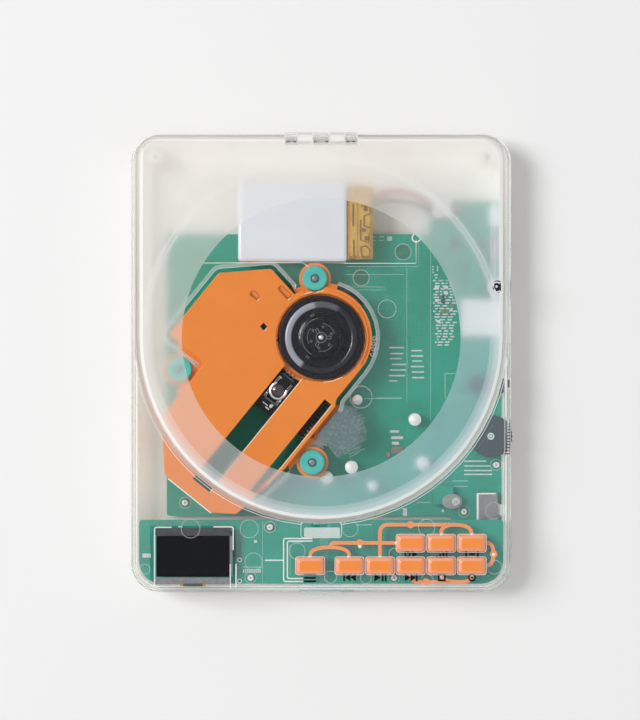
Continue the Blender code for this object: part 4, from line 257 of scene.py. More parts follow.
def solderMask(tree):
    # glass-fibre board under green solder mask; copper tracks show as paler lines, 0.4 mm wide and 1 mm apart
    spot = place(tree)
    cells = {"Scale": 1 / 9, "Randomness": 1.0, "Vector": spot}
    cells = addNode(tree, "TexVoronoi", cells, out="Color", distance="CHEBYCHEV")
    waves = {"Scale": 0.3142, "Distortion": 0.0, "Vector": spot}
    lines = [addNode(tree, "TexWave", waves, out="Fac", bands_direction=axis) for axis in ("X", "Y")]
    lines = [addNode(tree, "MapRange", line, 0.62, 0.7) for line in lines]
    way = addNode(tree, "SeparateColor", {"Color": cells}, out="Red")
    way = addNode(tree, "Math", way, 0.5, operation="GREATER_THAN")
    shown = addNode(tree, "SeparateColor", {"Color": cells}, out="Green")
    shown = addNode(tree, "Math", shown, 0.45, operation="GREATER_THAN")
    track = addNode(tree, "Mix", {0: way, 2: lines[0], 3: lines[1]})
    track = addNode(tree, "Math", track, shown, operation="MULTIPLY")
    cloud = addNode(tree, "TexNoise", {"Scale": 1 / 14, "Detail": 2.0, "Vector": spot})
    ground = shaded(tree, addNode(tree, "MapRange", cloud, 0.35, 0.65), "#0B8C72", "#14987E")
    values = {
        "Base Color": shaded(tree, addNode(tree, "Math", track, 0.16, operation="MULTIPLY"), ground, "#4FB89C"),
        "Roughness": 0.36,
        "IOR": 1.5,
        "Specular IOR Level": 0.3,
        "Normal": addNode(tree, "Bump", {"Strength": 0.3, "Distance": 0.04 * mm, "Height": track}),
    }
    return addNode(tree, "BsdfPrincipled", values)


# Milky plastic of the case: light comes through its walls, so the inside near them is as bright as the floor outside
cream = {"colour": "#ECE9E2", "deep": "#E6E2DA", "glow": 0.29, "nearSides": (52.0, 67.0), "nearEnds": (66.0, 81.0)}


def creamAbs(tree):
    # cloudy cream with a faint grain; the glow near the walls stands for light that seeps in from outside
    spot = place(tree)
    cloud = addNode(tree, "TexNoise", {"Scale": 1 / 22, "Detail": 2.0, "Vector": spot})
    grain = addNode(tree, "TexNoise", {"Scale": 2.0, "Detail": 2.0, "Vector": spot})
    near = []
    for axis, (low, high) in (("X", cream["nearSides"]), ("Y", cream["nearEnds"])):
        off = addNode(tree, "Math", axisOf(tree, axis), operation="ABSOLUTE")
        near.append(addNode(tree, "MapRange", off, low * mm, high * mm))
    # only faces that look inwards and not down glow
    normal = addNode(tree, "NewGeometry", {}, out="Normal")
    flat = addNode(tree, "VectorMath", spotIn(tree), (1, 1, 0), operation="MULTIPLY")
    outward = addNode(tree, "VectorMath", normal, flat, out="Value", operation="DOT_PRODUCT")
    inside = addNode(tree, "MapRange", outward, 1.0 * mm, 8.0 * mm, 1.0, 0.0)
    level = addNode(tree, "MapRange", upright(tree), -0.6, -0.2)
    inside = addNode(tree, "Math", inside, level, operation="MULTIPLY")
    glow = addNode(tree, "Math", *near, operation="MAXIMUM")
    glow = addNode(tree, "Math", glow, cream["glow"], operation="MULTIPLY")
    values = {
        "Base Color": shaded(tree, addNode(tree, "MapRange", cloud, 0.3, 0.7), cream["colour"], cream["deep"]),
        "Roughness": addNode(tree, "MapRange", grain, 0.3, 0.7, 0.38, 0.46),
        "IOR": 1.53,
        "Emission Color": linear(cream["colour"]),
        "Emission Strength": addNode(tree, "Math", glow, inside, operation="MULTIPLY"),
    }
    return addNode(tree, "BsdfPrincipled", values)


def lensGlass(tree):
    # moulded lens with a faint warm anti-reflection coat
    values = {"Base Color": linear("#4B3F45"), "Roughness": 0.08, "IOR": 1.6, "Coat Weight": 1.0}
    return addNode(tree, "BsdfPrincipled", {**values, "Coat Tint": linear("#E8D6D2")})


def screenGlass(tree):
    # dark panel behind polished glass, smudged a little where fingers touch it
    smudge = addNode(tree, "TexNoise", {"Scale": 1 / 12, "Vector": place(tree)})
    rough = addNode(tree, "MapRange", smudge, 0.3, 0.7, 0.06, 0.12)
    values = {"Base Color": linear("#0E1116"), "Roughness": rough, "IOR": 1.5, "Specular IOR Level": 0.1}
    return addNode(tree, "BsdfPrincipled", values)


def speckledCable(tree):
    # grey-violet cable with pale specks a millimetre apart, frayed by noise so that the board shows through at its edge
    spot = place(tree)
    specks = addNode(tree, "TexVoronoi", {"Scale": 0.9, "Vector": spot})
    violet = shaded(tree, addNode(tree, "MapRange", specks, 0.15, 0.5), "#85959A", "#5F7A7C")
    far = addNode(tree, "VectorMath", spot, (6.4, -24.6, 18.2), out="Value", operation="DISTANCE")
    fray = addNode(tree, "TexNoise", {"Scale": 0.45, "Detail": 3.0, "Vector": spot})
    fray = addNode(tree, "Math", fray, 6.0, operation="MULTIPLY")
    thin = addNode(tree, "MapRange", addNode(tree, "Math", far, fray, operation="ADD"), 10.2, 13.2, 0.72, 0.0)
    cable = addNode(tree, "BsdfPrincipled", {"Base Color": violet, "Roughness": 0.45})
    return addNode(tree, "MixShader", thin, addNode(tree, "BsdfTransparent", (1, 1, 1, 1)), cable)


def ringRubberPaintedSheen(tree):
    # glossy rubber ring with a painted highlight: the lamp's reflection painted pale over its left arc and mid grey
    # above, nearly black on the right
    up = addNode(tree, "Math", axisOf(tree, "Y"), hub[1] * mm, operation="SUBTRACT")
    left = addNode(tree, "Math", axisOf(tree, "X"), -1.0, operation="MULTIPLY")
    # the angle is measured from the left, so one band holds the pale arc of the painted highlight
    angle = addNode(tree, "Math", up, left, operation="ARCTAN2")
    grain = addNode(tree, "TexNoise", {"Scale": 1.6, "Detail": 3.0, "Vector": place(tree)})
    dark = shaded(tree, grain, "#262831", "#1E2028")
    grey = shaded(tree, grain, "#6C6E78", "#3E4049")
    colour = shaded(tree, banded(tree, angle, 1.38, 2.1, 0.05), dark, grey)
    colour = shaded(tree, banded(tree, angle, -0.95, 1.38, 0.05), colour, "#9B9DA9")
    return addNode(tree, "BsdfPrincipled", {"Base Color": colour, "Roughness": 0.28, "IOR": 1.5})


# Plastics, rubbers and paints: colour, deeper shade, roughness, width of the grain and of the clouds, relief and IOR,
# then the share of the sheen and, where it differs, the paler colour painted on steep faces as painted light. The note
# says what the eye gets.
looks = {
    "orangeAbs": ("#EF882C", "#EA8228", 0.42, 0.35, 16, 0.25, 1.53),            # satin, even, faintly grained
    "glossyOrangeAbs": ("#FF953F", "#FC8E3A", 0.3, 6.0, 9, 0.0, 1.53, 0.5, "#FFAE8A"),  # polished, with paler pink painted on the bevels as painted light
    "blackPom": ("#1B1D25", "#16181F", 0.26, 0.4, 8, 0.1, 1.48, 0.35),          # blue-black, waxy shine
    "greyPom": ("#34363C", "#2C2E33", 0.5, 1.2, 6, 0.05, 1.45),                 # dull, rubbed
    "matRubber": ("#595A68", "#4C4D5A", 0.36, 0.3, 5, 0.3, 1.5),                # soft shine, dusty
    "whiteNylon": ("#E9E8E2", "#DFDED6", 0.42, 0.4, 6, 0.15, 1.53),             # warm white, satin
    "tealSilicone": ("#5CC4BB", "#50B8AE", 0.5, 0.3, 5, 0.2, 1.42),             # soft, even, matt
    "blackRubber": ("#2B2B2D", "#242426", 0.6, 0.4, 5, 0.4, 1.5),               # dry and grained
    "redPvc": ("#C4322B", "#B62C27", 0.32, 0.5, 4, 0.1, 1.53),                  # glossy sleeve
    "blackPvc": ("#26272B", "#1F2024", 0.32, 0.5, 4, 0.1, 1.53),                # glossy sleeve
    "polyimideTape": ("#D3AC52", "#BE9440", 0.24, 1.2, 5, 0.2, 1.6),            # gold, glossy, creased
    "paleOrangeHighlight": ("#FFDCBC", "#FFD2AA", 0.4, 0.4, 6, 0.05, 1.5),           # painted highlight on edges that face the lamp
    "blackInkAndShade": ("#0C0D0F", "#090A0B", 0.5, 0.3, 4, 0.05, 1.45, 0.2),           # flat print; in screw slots, hub slots and plate holes, painted shade
    "tinPads": ("#D9DEDC", "#BFC8C6", 0.3, 0.4, 1.5, 0.3, 1.9),                 # uneven bright solder
    "silkscreen": ("#A8D3C3", "#9BCAB9", 0.5, 0.3, 4, 0.1, 1.45),               # thin white ink, green shows through
    "greyEpoxy": ("#4A4D55", "#3D4047", 0.45, 0.3, 3, 0.2, 1.5),                # mould-grained chip body; on screw heads, painted shade in the slots
    "brownCeramic": ("#8C8272", "#776C5E", 0.45, 0.3, 2, 0.1, 1.5),             # fired, matt
    "orangeCeramic": ("#E89A5E", "#DC8A4E", 0.4, 0.3, 2, 0.1, 1.5),             # fired, matt
    "greyFerrite": ("#9A9A92", "#85857E", 0.5, 0.4, 2, 0.3, 1.5),               # rough pressed powder
    "whitePost": ("#F4F5F3", "#EAECEA", 0.4, 0.4, 3, 0.1, 1.5),                 # plain white plastic; on the switch can and the plunger, a painted highlight and glint
    "darkScreenFoil": ("#4A4C50", "#3C3E42", 0.35, 0.5, 1.2, 0.3, 1.5),         # crinkled dark film
    "silverScreenFoil": ("#8F9194", "#787A7F", 0.3, 0.5, 1.6, 0.3, 1.6),        # crinkled silver film
    "amberFlex": ("#C98A2E", "#B57A28", 0.3, 0.5, 2, 0.1, 1.6),                 # amber film over copper
    "blackFlex": ("#2C2D38", "#22232C", 0.25, 0.4, 2, 0.1, 1.6),                # glossy violet-black film
    "tealBoreShade": ("#2C8079", "#246E68", 0.5, 0.3, 3, 0.1, 1.45),                 # painted shade in a damper's bore
    "shadedOrange": ("#A85A22", "#96501E", 0.5, 0.3, 3, 0.1, 1.5),              # painted shade in grooves and round recesses
    "hingeShade": ("#55595A", "#484B4C", 0.5, 0.3, 3, 0.1, 1.5),                # grey gap between knuckles
    "pouchFoil": ("#E4E8ED", "#DDE1E8", 0.42, 2.0, 14, 0.04, 1.5),              # bluish silver film, soft shine
    "jointGrey": ("#B4B4AE", "#A8A8A3", 0.5, 0.4, 4, 0.05, 1.5),                # shade in a parting line
    "paleHubHighlight": ("#72757F", "#62656F", 0.4, 0.4, 2, 0.1, 1.48),                  # painted highlights where hub edges catch the light
    "goldShade": ("#8F6A2C", "#775522", 0.4, 0.4, 1.5, 0.1, 1.5),               # parts seen through gold tape
    "darkMask": ("#24775F", "#1E6B55", 0.4, 0.4, 3, 0.1, 1.5),                  # darker green patches and strips; round the screw shanks, painted shade
    "milkyKnob": ("#D9DDDA", "#CCD1CE", 0.35, 0.5, 4, 0.1, 1.5),                # cloudy white plastic
}
# Bare metals: colour, deeper shade, roughness, width of the scratches and relief
metals = {
    "brightSteel": ("#EDEEEF", "#DFE0E2", 0.3, 0.25, 0.1),                      # polished, finely drawn
    "tinnedCan": ("#989591", "#85827E", 0.45, 0.6, 0.15),                       # dull rolled tinplate
}
# Polycarbonate of thin edges and ridges: haze and roughness
hazes = {
    "edgePolycarbonate": (0.8, 0.3),
    "softPolycarbonate": (0.4, 0.25),
    "mistPolycarbonate": (0.14, 0.2),
    "faintPolycarbonate": (0.22, 0.2),
}
made = {}
for shade, table in ((plastic, looks), (metal, metals), (seeThrough, hazes)):
    made.update({name: newMaterial(name, shade, *look) for name, look in table.items()})
for shade in (creamAbs, solderMask, speckledCable, ringRubberPaintedSheen, lensGlass, screenGlass):
    made[shade.__name__] = newMaterial(shade.__name__, shade)
made["lidPolycarbonate"] = newMaterial("lidPolycarbonate", lidPlastic)
made["deckPolycarbonate"] = newMaterial("deckPolycarbonate", deckPlastic)

dampers = ("damper_1", "damper_2", "damper_3")
wearers = {
    "lidPolycarbonate": ["lid"],
    "deckPolycarbonate": ["top_deck", "open_slider", "display_frame"],
    "creamAbs": ["bottom_case"],
    "orangeAbs": ["drive_chassis"],
    "glossyOrangeAbs": [name for name in nodes if name.startswith("key_")],
    "tealSilicone": dampers,
    "blackPom": ["turntable", "pickup_sled", "sled_rack", "lid_plunger", "headphone_jack", "lid_switch"],
    "greyPom": ["volume_dial"],
    "matRubber": ["turntable_mat"],
    "whiteNylon": ["sled_gear", "motor_pinion", "battery_plug"],
    "blackRubber": ["foot_1", "foot_2", "foot_3", "foot_4"],
    "redPvc": ["battery_lead_red"],
    "blackPvc": ["battery_lead_black"],
    "polyimideTape": ["battery_tape"],
    "milkyKnob": ["switch_knob"],
    "pouchFoil": ["battery"],
    "tinnedCan": ["switch_can", "usb_socket", "spindle_motor", "sled_motor"],
    "brightSteel": ["hinge_pin", "spindle_shaft", "guide_rod_left", "guide_rod_right"]
    + [name for name in nodes if name.startswith("board_screw_")],
    "solderMask": ["main_board", "front_board"],
    "lensGlass": ["objective_lens"],
    "screenGlass": ["display_glass"],
}
for name, group in wearers.items():
    for wearer in group:
        slots = nodes[wearer].data.materials
        slots.clear()
        slots.append(made[name])
print("materials on", sum(map(len, wearers.values())), "CAD nodes of", len(nodes))


# Surfaces on a grid of rings and points
def skin(rings, ends=True):
    # rings is (n, m, 3): quads between neighbouring rings, closed round each ring, with the first and last ring filled
    count, wide = rings.shape[:2]
    here = np.arange(wide)
    row = np.arange(count - 1)[:, None] * wide
    first, step = row + here, row + (here + 1) % wide
    faces = np.stack([first, step, step + wide, first + wide], axis=-1).reshape(-1, 4).tolist()
    if ends:
        faces.append(here[::-1].tolist())
        faces.append(((count - 1) * wide + here).tolist())
    return rings.reshape(-1, 3), faces


def laid(shape, spot, turn=0.0):
    # a shape turned in plan about its own middle and carried to its spot
    (x, y, z), faces = shape[0].T, shape[1]
    cos, sin = math.cos(turn), math.sin(turn)
    return np.column_stack([x * cos - y * sin + spot[0], x * sin + y * cos + spot[1], z]), faces


def piece(name, shapes, finish, body="case", smooth=False):
    # one object of several shapes, at the origin, riding on a body
    points, faces, start = [], [], 0
    for shape in shapes:
        points.append(shape[0])
        faces += [[corner + start for corner in face] for face in shape[1]]
        start += len(shape[0])
    mesh = bpy.data.meshes.new(name)
    mesh.from_pydata((np.concatenate(points) * mm).tolist(), [], faces)
    mesh.materials.append(made[finish])
    if smooth:
        mesh.shade_smooth()
        mesh.set_sharp_from_angle(angle=math.radians(35))
    thing = bpy.data.objects.new(name, mesh)
    bpy.context.scene.collection.objects.link(thing)
    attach(thing, body)
    return thing


def topOf(name):
    # a node's middle in plan, and its top
    low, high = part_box(name)
    return np.array([low.x + high.x, low.y + high.y]) / 2 / mm, high.z / mm


def roundBox(width, depth, corner, steps=4):
    # outline of a rectangle with rounded corners: a quarter circle added at each of four corner points
    angle = (np.arange(4)[:, None] * 90 + np.linspace(0, 90, steps)[None, :]) * math.pi / 180
    middle = np.array([[1, 1], [-1, 1], [-1, -1], [1, -1]]) * (np.array([width, depth]) / 2 - corner)
    return (middle[:, None] + corner * np.stack([np.cos(angle), np.sin(angle)], axis=-1)).reshape(-1, 2)


def inset(outline, distance):
    # each corner moved inwards along the mean of its two sides' normals, so far that the sides keep their distance
    ahead = np.roll(outline, -1, axis=0) - outline
    ahead /= np.linalg.norm(ahead, axis=1, keepdims=True)
    behind = np.roll(ahead, 1, axis=0)
    across = np.stack([-(ahead + behind)[:, 1], (ahead + behind)[:, 0]], axis=-1)
    lift = across / np.maximum(np.einsum("ij,ij->i", across, across)[:, None] / 2, 0.3)
    return outline + lift * distance


def slab(outline, low, high, bevel=0.0):
    # a flat outline given a height, its upper edge bevelled: the outline carried up and then inwards
    steps = [(0.0, low), (0.0, high)]
    if bevel:
        steps[1:] = [(0.0, high - bevel), (bevel * 0.3, high - bevel * 0.3), (bevel, high)]
    rings = [np.column_stack([inset(outline, d) if d else outline, np.full(len(outline), z)]) for d, z in steps]
    return skin(np.array(rings))


def bar(spot, turn, long, wide, corner, low, high, bevel=0.0):
    # a flat box with rounded corners, turned in plan
    return laid(slab(roundBox(long, wide, corner), low, high, bevel), spot, turn)


def lathe(profile, centre, steps=48, closed=False):
    # a profile of radius and height carried round an upright axis; closed is for one that goes round its own middle,
    # otherwise the two ends are filled
    profile = np.asarray(profile, float)
    angle = np.arange(steps) * 2 * math.pi / steps
    around = np.stack([np.cos(angle), np.sin(angle), np.zeros(steps)], axis=-1)
    rings = profile[:, 0, None, None] * around + profile[:, 1, None, None] * np.array([0, 0, 1.0])
    rings = rings + np.array([*centre, 0.0])
    if not closed:
        return skin(rings)
    points, faces = skin(np.concatenate([rings, rings[:1]]), ends=False)
    wrap = len(rings) * steps
    return points[:wrap], [[corner % wrap for corner in face] for face in faces]


def hoop(spot, inner, outer, low, high, steps):
    # a flat ring: a rectangle carried round its middle
    return lathe([(inner, low), (outer, low), (outer, high), (inner, high)], spot, steps, closed=True)


def ribbon(path, width, low, high):
    # a wall along a path in plan: its two sides lie half a width off, along the path's normals
    path = np.asarray(path, float)
    ahead = np.gradient(path, axis=0)
    ahead /= np.linalg.norm(ahead, axis=1, keepdims=True)
    side = np.stack([-ahead[:, 1], ahead[:, 0]], axis=-1) * width / 2
    return slab(np.concatenate([path - side, (path + side)[::-1]]), low, high)


def closedRibbon(outline, width, low, high):
    # the same along a closed outline
    return ribbon(np.concatenate([outline, outline[:1]]), width, low, high)


def hubArc(radius, start, end, width, low, high, steps=48):
    # a thin wall along an arc about the disc's middle
    angle = np.linspace(start, end, steps)
    return ribbon(hub + radius * np.column_stack([np.cos(angle), np.sin(angle)]), width, low, high)


def byHub(radius, angle):
    # a spot at a radius and an angle from the disc's middle
    return hub[0] + radius * math.cos(angle), hub[1] + radius * math.sin(angle)


def rounded(corners, radius, steps=5):
    # a path in plan whose inner corners are arcs, drawn as quadratic curves between points short of each corner
    corners = np.asarray(corners, float)
    out = [corners[:1]]
    share = np.linspace(0, 1, steps)[:, None]
    for before, here, after in zip(corners[:-2], corners[1:-1], corners[2:]):
        back, on = before - here, after - here
        start = here + back * min(0.5, radius / np.linalg.norm(back))
        end = here + on * min(0.5, radius / np.linalg.norm(on))
        out.append((1 - share) ** 2 * start + 2 * share * (1 - share) * here + share ** 2 * end)
    out.append(corners[-1:])
    return np.concatenate(out)


def wire(path, radius, steps=10):
    # a round cord along a path in space: circles across the path, on a frame kept level
    path = np.asarray(path, float)
    ahead = np.gradient(path, axis=0)
    ahead /= np.linalg.norm(ahead, axis=1, keepdims=True)
    side = np.cross(ahead, np.array([0, 0, 1.0]))
    side /= np.maximum(np.linalg.norm(side, axis=1, keepdims=True), 1e-6)
    up = np.cross(side, ahead)
    angle = np.arange(steps)[None, :, None] * 2 * math.pi / steps
    return skin(path[:, None] + radius * (np.cos(angle) * side[:, None] + np.sin(angle) * up[:, None]))


def pixelsPerMm(height):
    return view["pixels"] / (view["height"] - height)


def seen(places, height):
    # spots measured on the photograph, in its pixels, carried down to the height where they lie
    places = np.atleast_2d(np.asarray(places, float))
    return (places - view["middle"]) * (1, -1) / pixelsPerMm(height) + view["spot"]


def patch(left, right, top, bottom, low, high, corner=0.15, bevel=0.0):
    # a flat box over a rectangle measured on the photograph
    ends = seen([(left, bottom), (right, top)], high)
    width, depth = ends[1] - ends[0]
    corner = min(corner, 0.45 * width, 0.45 * depth)
    return slab(roundBox(width, depth, corner) + ends.mean(axis=0), low, high, bevel)


def ring(spot, radius, width, low, high, steps=40):
    # a flat ring about a spot measured on the photograph
    return hoop(seen(spot, high)[0], radius - width / 2, radius + width / 2, low, high, steps)


def stroke(corners, width, low, high, bend=0.0):
    # a wall along a line measured on the photograph
    path = seen(corners, high)
    return ribbon(rounded(path, bend) if bend else path, width, low, high)


def dome(spot, radius, low, high, steps=28):
    # a low round knob: height falls as the cosine of the share of the radius
    share = np.linspace(1, 0, 6)
    profile = np.column_stack([radius * share, low + (high - low) * np.cos(share * math.pi / 2)])
    profile = np.concatenate([[(radius, low)], profile[1:-1], [(radius * 0.04, high)]])
    return lathe(profile, seen(spot, high)[0], steps)


def rimStrip(node, height, near, far, low, high, within=None, towards=None):
    # a thin band beside a node's upper edges at one height: an edge between a flat face and a wall below it has a
    # normal in plan that leads back over the flat face, and each point moves along the mitre of its two normals
    mesh = nodes[node].data
    mesh.calc_loop_triangles()
    spots = np.array([vertex.co for vertex in mesh.vertices], float)
    cells = np.round(spots / 1e-6).astype(int)
    _, first, same = np.unique(cells, axis=0, return_index=True, return_inverse=True)
    spots = spots[first] / mm
    faces = same.reshape(-1)[np.array([triangle.vertices[:] for triangle in mesh.loop_triangles])]
    normals = np.cross(spots[faces[:, 1]] - spots[faces[:, 0]], spots[faces[:, 2]] - spots[faces[:, 0]])
    normals /= np.maximum(np.linalg.norm(normals, axis=1, keepdims=True), 1e-9)
    level = np.abs(spots[:, 2] - height) < 0.01
    if within:
        level &= within(spots)
    walls = {}
    for face in np.flatnonzero(np.abs(normals[:, 2]) < 0.3):
        for a, b, c in (faces[face][[0, 1, 2]], faces[face][[1, 2, 0]], faces[face][[2, 0, 1]]):
            if level[a] and level[b] and spots[c, 2] < height:
                lead = -normals[face, :2] / np.linalg.norm(normals[face, :2])
                if towards is None or lead @ np.array(towards) > 0.6:
                    walls[(b, a)] = lead
    back = {}
    for ends, lead in walls.items():
        for end in ends:
            back.setdefault(end, []).append(lead)
    rings, points = {}, []
    for number, leads in back.items():
        mitre = leads[0] if len(leads) < 2 else (leads[0] + leads[1]) / max(1 + leads[0] @ leads[1], 0.4)
        rings[number] = len(points)
        for distance, z in ((near, low), (near, high), (far, high), (far, low)):
            points.append((*(spots[number, :2] + mitre * distance), z))
    quads = []
    for a, b in walls:
        first, second = rings[a], rings[b]
        quads += [[first + k, second + k, second + (k + 1) % 4, first + (k + 1) % 4] for k in range(4)]
    return np.array(points), quads


# Heights above the table where the pieces lie
heights = {
    "board": 6.9, "frontBoard": 16.7, "wellUnder": 18.4, "well": 20.0, "landUnder": 20.4, "plate": 20.5,
    "deckUnder": 21.4, "land": 22.0, "deck": 23.0,
}
skim = 0.004        # prints and lines stand this far off the face below them
hair = 0.01         # and what hangs under a face or stands on a board this far

# Pale lines where the clear deck's edges gather light
rims = {
    "rise": 0.05,
    "damperRoom": 5.7,
    "lines": [("land", 0.02, 0.42), ("land", 1.3, 1.748), ("deck", 0.02, 0.196)],      # level, near and far side
}
damperSpots = np.array([topOf(name)[0] for name in dampers])


def offDampers(spots):
    # away from the rooms of the dampers, whose edges don't catch the light
    return np.linalg.norm(spots[:, None, :2] - damperSpots[None], axis=-1).min(axis=1) > rims["damperRoom"]


lines = []
for level, near, far in rims["lines"]:
    z = heights[level]
    lines.append(rimStrip("top_deck", z, near, far, z + skim, z + rims["rise"]))
piece("deckEdgeLines", lines, "edgePolycarbonate")
z = heights["well"]
for name, near, far, finish in (
    ("openingBand", 0.2, 1.25, "mistPolycarbonate"),
    ("openingLine", 0.02, 0.17, "softPolycarbonate"),
    ("openingFarLine", 1.27, 1.4, "faintPolycarbonate"),
):
    band = rimStrip("top_deck", z, near, far, z + skim, z + rims["rise"], offDampers)
    piece(name, [band], finish)
z = heights["plate"]
# painted highlight: pale lines only along the plate's edges whose walls face the lamp
plateHighlights = rimStrip("drive_chassis", z, 0.0, 0.34, z + 0.002, z + 0.03, None, (0.776, -0.631))
piece("plateEdgeHighlights", [plateHighlights], "paleOrangeHighlight")
print("edge lines")

# Marks that the mould's ejector pins left under the deck: thin ridges round shallow rounds, spot and radius in pixels
marks = {
    "width": 0.15,
    "depth": 0.12,
    "deckUnder": [
        (190.6, 528.5, 9.4), (249.2, 528.8, 9), (253.5, 561.5, 8.6), (297, 551, 8), (145, 569, 5),
        (350, 528.6, 8), (426.6, 527.5, 8.3), (394.6, 553.7, 5.6), (330.5, 577, 6), (365.8, 578, 5.4),
        (427, 580, 6), (494.4, 567, 7), (494, 510.6, 8.3),
    ],
    "wellUnder": [(403, 252, 8), (361, 278, 8), (387, 309, 9), (361, 397, 11)],
}
rounds = []
for under in ("deckUnder", "wellUnder"):
    z = heights[under] - hair
    for x, y, r in marks[under]:
        radius = r / pixelsPerMm(heights[under])
        rounds.append(ring((x, y), radius, marks["width"], z - marks["depth"], z))
piece("ejectorMarks", rounds, "softPolycarbonate", smooth=True)

# Stiffening ribs under the deck, as paths over the photograph with their depth
ribs = {
    "width": 0.42,
    "bend": 0.8,
    "deckUnder": [
        # round the display
        ([(171.5, 527.3), (154.6, 527.3), (154.6, 587)], 1.4),
        ([(213.5, 526.8), (233.2, 526.8), (233.2, 550)], 1.4),
        ([(230.3, 564), (230.3, 588)], 1.2),
        ([(236, 564), (236, 588)], 1.2),
        # round the first key
        ([(265, 560.2), (283, 560.2)], 1.0),
        ([(312.5, 538.4), (283.6, 538.4), (283.6, 581.5), (303, 581.5)], 1.2),
        ([(312.5, 541.0), (287.4, 541.0), (287.4, 578.5), (303, 578.5)], 1.2),
    ],
    "landUnder": [([(168, 478.5), (211, 513)], 1.0)],       # beside the drive
}
walls = []
for under in ("deckUnder", "landUnder"):
    z = heights[under]
    walls += [stroke(path, ribs["width"], z - deep, z - hair, ribs["bend"]) for path, deep in ribs[under]]
piece("deckRibs", walls, "edgePolycarbonate")

# Shallow steps in the deck over the boards, as faint lines
faint = {
    "width": 0.14,
    "bright": [[(201, 263.2), (302, 262.2), (310, 268)], [(343.8, 263.4), (416, 263.4), (416, 240)]],
    "wellUnder": [
        [(347, 266.6), (418.6, 266.6), (418.6, 243)],
        [(406.8, 268), (406.8, 403)], [(365, 398.6), (402, 398.6)], [(345, 274.5), (404, 274.5)],
        [(345, 287), (384, 287)], [(345, 290), (386, 290)], [(430.5, 250), (430.5, 420)],
    ],
    "deckUnder": [[(290.3, 545), (290.3, 575)], [(262.5, 521), (262.5, 583)]],
}
z = heights["wellUnder"]
bright = [stroke(path, 1.6 * faint["width"], z - 0.5, z - hair) for path in faint["bright"]]
piece("deckLines", bright, "edgePolycarbonate")
steps = []
for under in ("wellUnder", "deckUnder"):
    z = heights[under]
    steps += [stroke(path, faint["width"], z - 0.2, z - hair) for path in faint[under]]
piece("deckSteps", steps, "faintPolycarbonate")
print("ribs and marks under the deck")

# Playback signs printed on the deck: strokes and triangles in the photograph's pixels about each sign's middle
signs = {
    "ink": 0.02,
    "row": 577.5,
    "upperRow": 554.2,
    "back": 349.8, "play": 380.5, "forward": 411.0, "stop": 441.8, "sound": 472.0, "mode": 310.0,
}
deckTop = heights["deck"]
inkTop = deckTop + signs["ink"]


def sign(shape, column, row):
    # a flat outline about its own middle, in pixels with y down, printed on the deck
    outline = seen(np.asarray(shape, float) + (column, row), deckTop)
    area = np.sum(outline[:, 0] * np.roll(outline[:, 1], -1) - np.roll(outline[:, 0], -1) * outline[:, 1])
    return slab(outline if area > 0 else outline[::-1], deckTop + skim, inkTop)


def rect(x0, x1, y0, y1):
    return [(x0, y0), (x1, y0), (x1, y1), (x0, y1)]


def wedge(x0, x1, half):
    # a triangle that points from x0 to x1
    return [(x0, -half), (x0, half), (x1, 0)]


row, upper, sound = signs["row"], signs["upperRow"], signs["sound"]
lowerSigns = [
    ("back", row, [rect(-6.6, -4.8, -3.8, 3.8), wedge(0.6, -4.8, 4), wedge(6.2, 0.6, 4)]),
    ("play", row, [wedge(-6.2, 0.2, 4.1), rect(1.3, 3.2, -3.9, 3.9), rect(4.3, 6.2, -3.9, 3.9)]),
    ("forward", row, [wedge(-6.2, -0.6, 4), wedge(-0.6, 4.8, 4), rect(4.8, 6.6, -3.8, 3.8)]),
    ("stop", row, [rect(-4, 4, -3.8, -2.1), rect(-4, 4, 2.1, 3.8), rect(-4, -2.3, -2.1, 2.1), rect(2.3, 4, -2.1, 2.1)]),
    ("mode", row + 0.4, [rect(-6, 6, y - 0.95, y + 0.95) for y in (-3.4, 0, 3.4)]),
]
# above, a ring with a wedge for repeats, marks about a stretch, and rising bars
risingBars = ((-4.8, 2.0), (-1.6, 3.6), (1.6, 5.1), (4.8, 6.6))
upperSigns = [
    ("forward", upper, [wedge(1.2, 6.4, 3.4)]),
    ("sound", upper, [rect(-6.8, -4.9, -3.3, 3.3), rect(4.9, 6.8, -3.3, 3.3), rect(-2.8, 2.8, -0.95, 0.95)]),
    ("stop", upper, [rect(x - 0.95, x + 0.95, 3.3 - high, 3.3) for x, high in risingBars]),
]
prints = [sign(shape, signs[column], y) for column, y, shapes in lowerSigns for shape in shapes]
prints.append(ring((sound, row), 1.15, 0.6, deckTop + skim, inkTop))
prints.append(lathe([(0.4, deckTop + skim), (0.4, inkTop)], seen((sound, row), inkTop)[0], 16))
prints.append(ring((signs["forward"] - 3.6, upper), 0.86, 0.56, deckTop + skim, inkTop))
prints += [sign(shape, signs[column], y) for column, y, shapes in upperSigns for shape in shapes]
piece("deckSigns", prints, "blackInkAndShade")
print("signs on the deck")


